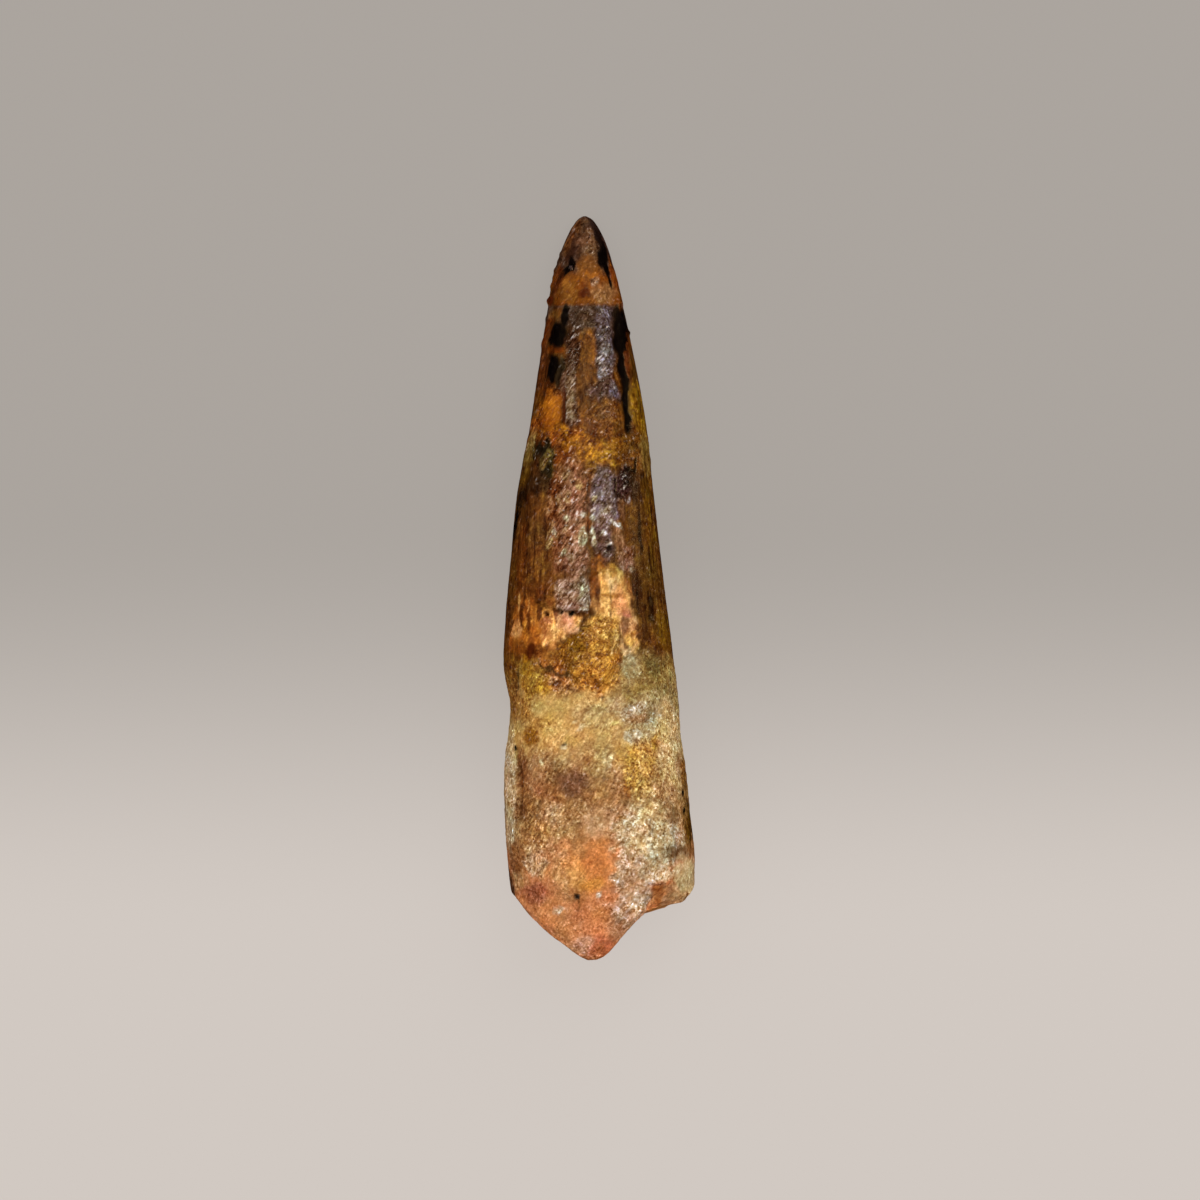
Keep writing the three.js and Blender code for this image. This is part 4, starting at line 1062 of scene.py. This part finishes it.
def fine_relief(points, finish, on_face, py):
    """Detail too fine for the part's own solid, in millimetres out from its surface."""
    grain = 0.07 * rough_noise(points, 0.75, 41) + 0.05 * value_noise(points, 0.38, 45)
    relief = finish[..., GRAINS] * grain
    relief += finish[..., STREAKS] * 0.035 * rough_noise(stretched(points, 0.12), 0.6, 46)
    relief += 0.08 * ramp(points[..., ALONG], *UNEVEN_ON_ROOT) * rough_noise(points, 2.6, 47)
    relief += raised(AMBER_BAND, py)
    relief += raised(GOLD_BAND, py) * (0.5 + rough_noise(points, 0.9, 48))
    return relief + on_face * (0.22 * rough_noise(points, 1.7, 49) + 0.1 * value_noise(points, 0.6, 50))


def shade_and_vary(points, colour, mottle, relief, groove_darkness):
    """The colours with painted shade and light by the relief, darker in grooves, and a little uneven
    everywhere.
    """
    shade = 1 + RELIEF_SHADING * np.clip(relief, *SHADED_RELIEF)
    blotches = 1 + 0.14 * rough_noise(points, 2.4, 52) + 0.3 * mottle * rough_noise(points, 1.0, 53)
    warmth = 0.12 * rough_noise(points, 2.2, 54) + 0.12 * mottle * rough_noise(points, 0.8, 55)
    pinkness = 0.07 * rough_noise(points, 2.6, 64) + 0.08 * mottle * rough_noise(points, 0.7, 65)
    tint = np.stack([1 + warmth + pinkness, 1 - pinkness, 1 - 1.4 * warmth + pinkness], axis=-1)
    return np.clip(colour * tint * (shade * blotches * (1 - groove_darkness))[..., None], 0.001, 1)


def make_surface():
    """The finished points in metres, and the colour and finish at each."""
    points, angle, on_face = grid()
    sin = np.sin(angle)
    px, py = to_picture(points[..., SIDE], points[..., ALONG], points[..., UP])
    top = ramp(sin, *SIDE_FADE)
    colour, finish = paint(points, top, on_face, px, py)
    relief = fine_relief(points, finish, on_face, py)
    dark_groove_depth, groove_darkness = dark_grooves_at(points, top * (1 - on_face), px, py)
    colour = shade_and_vary(points, colour, finish[..., MOTTLE], relief, groove_darkness)
    height = relief - dark_groove_depth + bead_height(points)
    normals = grid_normals(points)
    inward = -normals
    inward[..., ALONG] = 0  # so a hollow leaves the broken edge whole
    points = points + height[..., None] * normals + hollow_depth(points, sin)[..., None] * inward
    points[..., UP] = np.maximum(points[..., UP], 0)  # the small flat that the tooth rests on
    return points * MM, colour, finish


# ---- the mesh --------------------------------------------------------------------------------------------

MAP_MARGIN = 0.002


def with_ends(values):
    """Values for every vertex: the mean of the first ring, all the rings, and the mean of the last."""
    rings = values.reshape(-1, values.shape[-1])
    return np.concatenate([values[:1].mean(axis=1), rings, values[-1:].mean(axis=1)])


def surface_faces(rows):
    """The vertices of each face: triangles at the tip, quads down the side, triangles at the broken end."""
    ring = np.arange(COLUMNS)
    following = (ring + 1) % COLUMNS

    def at(row, column):
        return 1 + row * COLUMNS + column

    row = np.arange(rows - 1)[:, None]
    tip = np.stack([np.zeros(COLUMNS, int), at(0, following), at(0, ring)], axis=-1)
    quads = np.stack([at(row, ring), at(row, following), at(row + 1, following), at(row + 1, ring)], axis=-1)
    end = np.stack([at(rows - 1, ring), at(rows - 1, following), np.full(COLUMNS, at(rows, 0))], axis=-1)
    return tip.tolist() + quads.reshape(-1, 4).tolist() + end.tolist()


def unrolled_map(points):
    """The map unrolls the side: across is round the tooth, and up is from the broken end to the tip."""
    steps = np.linalg.norm(np.diff(points.mean(axis=1), axis=0), axis=-1)
    steps += np.abs(np.diff(np.ptp(points[..., SIDE], axis=1))) / 2
    down = np.concatenate([[0], np.cumsum(steps)])
    v = 1 - (MAP_MARGIN + (1 - 2 * MAP_MARGIN) * down / down[-1])
    above, below = v[:-1, None], v[1:, None]
    width = 1 / COLUMNS
    u = np.arange(COLUMNS) / COLUMNS

    def corners(*places):
        """The corners of a row or a grid of faces, from the u and v of each."""
        return np.stack([np.stack(np.broadcast_arrays(*place), axis=-1) for place in places], axis=-2)

    tip = corners((u + width / 2, 1.0), (u + width, v[0]), (u, v[0]))
    quads = corners((u, above), (u + width, above), (u + width, below), (u, below))
    end = corners((u, v[-1]), (u + width, v[-1]), (u + width / 2, 0.0))
    return np.concatenate([part.reshape(-1, 2) for part in (tip, quads, end)])


def write_attribute(mesh, name, values):
    attribute = mesh.attributes.new(name, "FLOAT_COLOR", "POINT")
    attribute.data.foreach_set("color", values.astype(np.float32).ravel())


def tooth_mesh():
    """The tooth's mesh. Its two attributes hold a colour and the grains, and the rest of the finish."""
    points, colour, finish = make_surface()
    mesh = bpy.data.meshes.new("tooth_surface")
    mesh.from_pydata(with_ends(points).tolist(), [], surface_faces(len(points)))
    mesh.shade_smooth()
    mesh.uv_layers.new(name="OFBake").data.foreach_set("uv", unrolled_map(points).ravel())
    painted = np.concatenate([colour, finish[..., GRAINS:]], axis=-1)
    write_attribute(mesh, "Colour", with_ends(painted))
    write_attribute(mesh, "Finish", with_ends(finish[..., :GRAINS]))
    return mesh


# ---- materials -------------------------------------------------------------------------------------------

# Painted glints: the colour of the clusters on the wrinkles, and of the small specks.
GLINT = (0.78, 0.68, 0.6, 1)
GLINT_SPECK = (0.5, 0.42, 0.34, 1)
YELLOW_VARNISH = (1.0, 0.82, 0.55, 1)
WRINKLE_SLANT = math.radians(-38)
BUMP_DEPTH = 0.25
FLOOR_BY_TIP = (0.405, 0.372, 0.342, 1)
FLOOR_BY_ROOT = (0.64, 0.585, 0.543, 1)
FLOOR_CHANGE = (0.01, -0.045)  # metres along the tooth
FLOOR_LIT = 0.13  # the share of the floor's brightness that comes from the lights, and the rest is even


class Nodes:
    """Adds nodes to a material with few words."""

    def __init__(self, material):
        material.use_nodes = True
        self.tree = material.node_tree
        self.shader = self.tree.nodes["Principled BSDF"]
        self.where = self.add("TexCoord").outputs["Object"]

    def add(self, kind, inputs=(), **settings):
        node = self.tree.nodes.new("ShaderNode" + kind)
        for name, value in settings.items():
            setattr(node, name, value)
        for name, value in dict(inputs).items():
            self.plug(node.inputs[name], value)
        return node

    def plug(self, socket, value):
        if isinstance(value, bpy.types.NodeSocket):
            self.tree.links.new(value, socket)
        else:
            socket.default_value = value

    def math(self, operation, *values):
        return self.add("Math", dict(enumerate(values)), operation=operation).outputs[0]

    def product(self, *values):
        result = values[0]
        for value in values[1:]:
            result = self.math("MULTIPLY", result, value)
        return result

    def noise(self, size_mm, detail=2.0, roughness=0.5, where=None, output="Fac"):
        """Noise in lumps about this many millimetres across."""
        inputs = {"Vector": where or self.where, "Scale": 1 / (size_mm * MM)}
        inputs.update(Detail=detail, Roughness=roughness)
        return self.add("TexNoise", inputs).outputs[output]

    def vector(self, operation, *values, **inputs):
        inputs.update(enumerate(values))
        return self.add("VectorMath", inputs, operation=operation).outputs["Vector"]

    def bent(self, size_mm, reach_mm):
        """Places pushed in random directions."""
        random = self.vector("SUBTRACT", self.noise(size_mm, output="Color"), (0.5, 0.5, 0.5))
        return self.vector("ADD", self.where, self.vector("SCALE", random, Scale=reach_mm * MM))

    def band(self, value, start, end, low=0.0, high=1.0):
        """A smooth change from low to high, as the value goes from the start to the end."""
        inputs = {"Value": value, "From Min": start, "From Max": end, "To Min": low, "To Max": high}
        return self.add("MapRange", inputs, interpolation_type="SMOOTHSTEP").outputs["Result"]

    def blend(self, share, first, second, mode="MIX"):
        node = self.add("Mix", data_type="RGBA", blend_type=mode)
        for socket, value in zip((node.inputs[0], node.inputs[6], node.inputs[7]), (share, first, second)):
            self.plug(socket, value)
        return node.outputs[2]

    def tinted(self, colour, tint):
        return self.blend(1.0, colour, (*tint, 1), "MULTIPLY")

    def toned(self, colour, tint, *shares):
        """The colour, tinted as much as the product of the shares."""
        return self.blend(self.product(*shares), colour, self.tinted(colour, tint))


def add_mottling(n, colour, mottle):
    """Mottling between a stained, darker tone and a paler one, in patches."""
    patch = n.band(n.noise(3.2), 0.36, 0.62, 0.5, 1.2)
    fine = n.noise(0.8, 5, 0.72)
    stained, pale = n.tinted(colour, (0.55, 0.38, 0.22)), n.tinted(colour, (1.35, 1.48, 1.75))
    mottled = n.blend(n.band(fine, 0.38, 0.62), stained, pale)
    return n.blend(n.product(mottle, patch), colour, mottled), fine


def add_wrinkles(n, colour, flecks_and_glints, glint_share):
    """Short slanting wrinkles, darker in their hollows, with painted highlights on their crests and clusters
    of painted glints.
    """
    slant = {"Vector": n.where, "Rotation": (0, 0, WRINKLE_SLANT), "Scale": (1, 3.4, 1)}
    slanted = n.add("Mapping", slant, vector_type="TEXTURE").outputs["Vector"]
    wrinkle = n.noise(0.3, 1, where=slanted)
    colour = n.toned(colour, (0.3, 0.16, 0.08), n.band(wrinkle, 0.48, 0.34), flecks_and_glints)
    colour = n.toned(colour, (2.1, 2.4, 3.0), n.band(wrinkle, 0.54, 0.67), flecks_and_glints, 0.9)
    cluster = n.band(n.noise(1.3), 0.48, 0.62)
    return n.blend(n.product(n.band(wrinkle, 0.62, 0.7), cluster, glint_share), colour, GLINT), wrinkle


def add_grains(n, colour, grains):
    """Fine curved fibres, pale with warm dark gaps, that come and go, and small grains between them."""
    rich = n.product(n.band(n.noise(2.2, 3, 0.6), 0.4, 0.6, 0.6, 1.2), grains)
    wave = n.math("PINGPONG", n.math("MULTIPLY", n.noise(1.8, 3, 0.45), 12), 1)
    fibre = n.product(n.band(n.noise(0.5, 2, 0.6), 0.4, 0.58), rich)
    colour = n.toned(colour, (0.55, 0.38, 0.16), n.band(wave, 0.4, 0.05), fibre, 0.8)
    colour = n.toned(colour, (1.4, 1.7, 2.2), n.band(wave, 0.65, 0.98), fibre)
    grain = n.noise(0.3, 1)
    colour = n.toned(colour, (0.45, 0.28, 0.1), n.band(grain, 0.43, 0.3), rich, 0.8)
    return n.toned(colour, (1.5, 1.8, 2.4), n.band(grain, 0.58, 0.7), rich, 0.8), grain


def add_crumbs(n, colour, crumbs):
    """Pale crumbs of crust with warm dark gaps between them."""
    cells = n.add("TexVoronoi", {"Vector": n.bent(1.2, 0.5), "Scale": 1 / (0.7 * MM)}).outputs["Distance"]
    colour = n.toned(colour, (0.7, 0.56, 0.4), n.band(cells, 0.46, 0.7), crumbs, 0.8)
    return n.toned(colour, (1.25, 1.4, 1.5), n.band(cells, 0.36, 0.1), crumbs, 0.7), cells


def add_streaks(n, colour, streaks):
    """Lengthwise streaks in the enamel."""
    lengthwise = n.add("Mapping", {"Vector": n.where, "Scale": (1, 0.09, 1)}).outputs["Vector"]
    streak = n.noise(0.5, 4, 0.7, lengthwise)
    colour = n.toned(colour, (0.34, 0.2, 0.12), n.band(streak, 0.5, 0.34), streaks)
    return n.toned(colour, (1.8, 2.2, 2.8), n.band(streak, 0.53, 0.67), streaks), streak


def add_veins(n, colour, flecks_and_glints, glint_share):
    """Dark red veins, and small pale specks that are painted glints."""
    off_middle = n.math("ABSOLUTE", n.math("SUBTRACT", n.noise(1.5, 3, 0.6), 0.5))
    colour = n.toned(colour, (0.35, 0.16, 0.08), n.band(off_middle, 0.035, 0.005), flecks_and_glints, 0.75)
    glint_speck = n.band(n.noise(0.45, 2, 0.6), 0.61, 0.68)
    return n.blend(n.product(glint_speck, glint_share, 0.5), colour, GLINT_SPECK)


def fossil_material():
    """Reads each point's painted colour and finish, and adds the detail that is finer than the mesh."""
    material = bpy.data.materials.new("fossil_surface")
    n = Nodes(material)
    painted = n.add("Attribute", attribute_name="Colour").outputs
    finish = n.add("Attribute", attribute_name="Finish").outputs
    rough, mottle, flecks_and_glints = n.add("SeparateColor", {"Color": finish["Color"]}).outputs
    streaks = finish["Alpha"]
    grains = n.math("MINIMUM", painted["Alpha"], 1.1)
    crumbs = n.band(painted["Alpha"], 1.15, 1.9)
    glint_share = n.product(flecks_and_glints, flecks_and_glints)

    colour, fine = add_mottling(n, painted["Color"], mottle)
    colour, wrinkle = add_wrinkles(n, colour, flecks_and_glints, glint_share)
    colour, grain = add_grains(n, colour, grains)
    colour, cells = add_crumbs(n, colour, crumbs)
    colour, streak = add_streaks(n, colour, streaks)
    colour = add_veins(n, colour, flecks_and_glints, glint_share)

    bumps = n.product(grain, grains, 0.6)
    for pattern, amount in (
        (fine, n.product(mottle, 0.6)),
        (wrinkle, n.product(flecks_and_glints, 0.6)),
        (cells, n.product(crumbs, -0.5)),
        (n.product(streak, streaks), 0.3),
    ):
        bumps = n.math("MULTIPLY_ADD", pattern, amount, bumps)
    bump = n.add("Bump", {"Height": bumps, "Distance": BUMP_DEPTH * MM, "Strength": 1.0})

    n.plug(n.shader.inputs["Base Color"], colour)
    n.plug(n.shader.inputs["Roughness"], n.math("MULTIPLY_ADD", fine, 0.1, rough))
    n.plug(n.shader.inputs["Specular Tint"], YELLOW_VARNISH)
    n.plug(n.shader.inputs["Normal"], bump.outputs["Normal"])
    return material


def floor_material():
    """Plain and pale, and a little paler towards the bottom of the picture."""
    material = bpy.data.materials.new("floor_paint")
    n = Nodes(material)
    along = n.add("SeparateXYZ", {"Vector": n.where}).outputs["Y"]
    tone = n.blend(n.band(along, *FLOOR_CHANGE), FLOOR_BY_TIP, FLOOR_BY_ROOT)
    n.plug(n.shader.inputs["Base Color"], n.tinted(tone, [FLOOR_LIT] * 3))
    n.plug(n.shader.inputs["Emission Color"], tone)
    n.plug(n.shader.inputs["Emission Strength"], 1 - FLOOR_LIT)
    n.plug(n.shader.inputs["Roughness"], 0.9)
    n.plug(n.shader.inputs["Specular IOR Level"], 0.1)
    return material


# ---- the scene -------------------------------------------------------------------------------------------

SENSOR_WIDTH = 36
FLOOR_HALF = 2.0
SKY = (0.45, 0.445, 0.435, 1)
KEY_COLOUR = (1.0, 0.985, 0.96)
GLINT_COLOUR = (1.0, 0.82, 0.55)


def add_object(name, data):
    made = bpy.data.objects.new(name, data)
    bpy.context.scene.collection.objects.link(made)
    return made


def make_tooth():
    mesh = tooth_mesh()
    mesh.materials.append(fossil_material())
    tooth = add_object("tooth_fossil", mesh)
    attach(tooth, "root")
    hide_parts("tooth")


def make_floor():
    mesh = bpy.data.meshes.new("floor")
    corners = [(FLOOR_HALF * x, FLOOR_HALF * y, 0) for x, y in ((-1, -1), (1, -1), (1, 1), (-1, 1))]
    mesh.from_pydata(corners, [], [(0, 1, 2, 3)])
    mesh.materials.append(floor_material())
    floor = add_object("floor", mesh)
    floor.visible_glossy = False


def make_camera():
    """Straight above the tooth, with the picture's width in view at CAMERA_LEVEL."""
    camera = bpy.data.cameras.new("camera")
    camera.sensor_width = SENSOR_WIDTH
    camera.lens = SENSOR_WIDTH * CAMERA_DISTANCE / (PICTURE_PX * PIXEL_MM)
    camera.clip_start = 0.01
    made = add_object("camera", camera)
    made.location = (CAMERA_X * MM, CAMERA_Y * MM, (CAMERA_LEVEL + CAMERA_DISTANCE) * MM)
    bpy.context.scene.camera = made


def add_light(name, place, size, power, colour=(1, 1, 1), gloss=False):
    """A square light at a place, facing the tooth. It makes only the gloss, or everything else."""
    light = bpy.data.lights.new(name, "AREA")
    light.size = size
    light.energy = power
    light.color = colour
    made = add_object(name, light)
    made.location = place
    made.rotation_euler = (-made.location).to_track_quat("-Z", "Y").to_euler()
    made.visible_diffuse = not gloss
    made.visible_glossy = gloss


def make_light():
    """Large soft lights for the colours, and small ones for the glints, so dark enamel stays dark."""
    world = bpy.data.worlds.new("studio")
    world.use_nodes = True
    world.node_tree.nodes["Background"].inputs["Color"].default_value = SKY
    world.cycles_visibility.glossy = False
    bpy.context.scene.world = world
    add_light("key", (0.35, 0.5, 0.85), 0.9, 5.4, KEY_COLOUR)
    add_light("fill", (-0.4, 0.1, 1.0), 1.0, 3.6)
    add_light("glint", (0.5, 0.33, 0.75), 0.1, 1.8, GLINT_COLOUR, gloss=True)
    add_light("left_glint", (-0.45, 0.33, 0.85), 0.08, 0.45, GLINT_COLOUR, gloss=True)
    bpy.context.scene.view_settings.view_transform = "Standard"


make_camera()
make_light()
make_floor()
make_tooth()
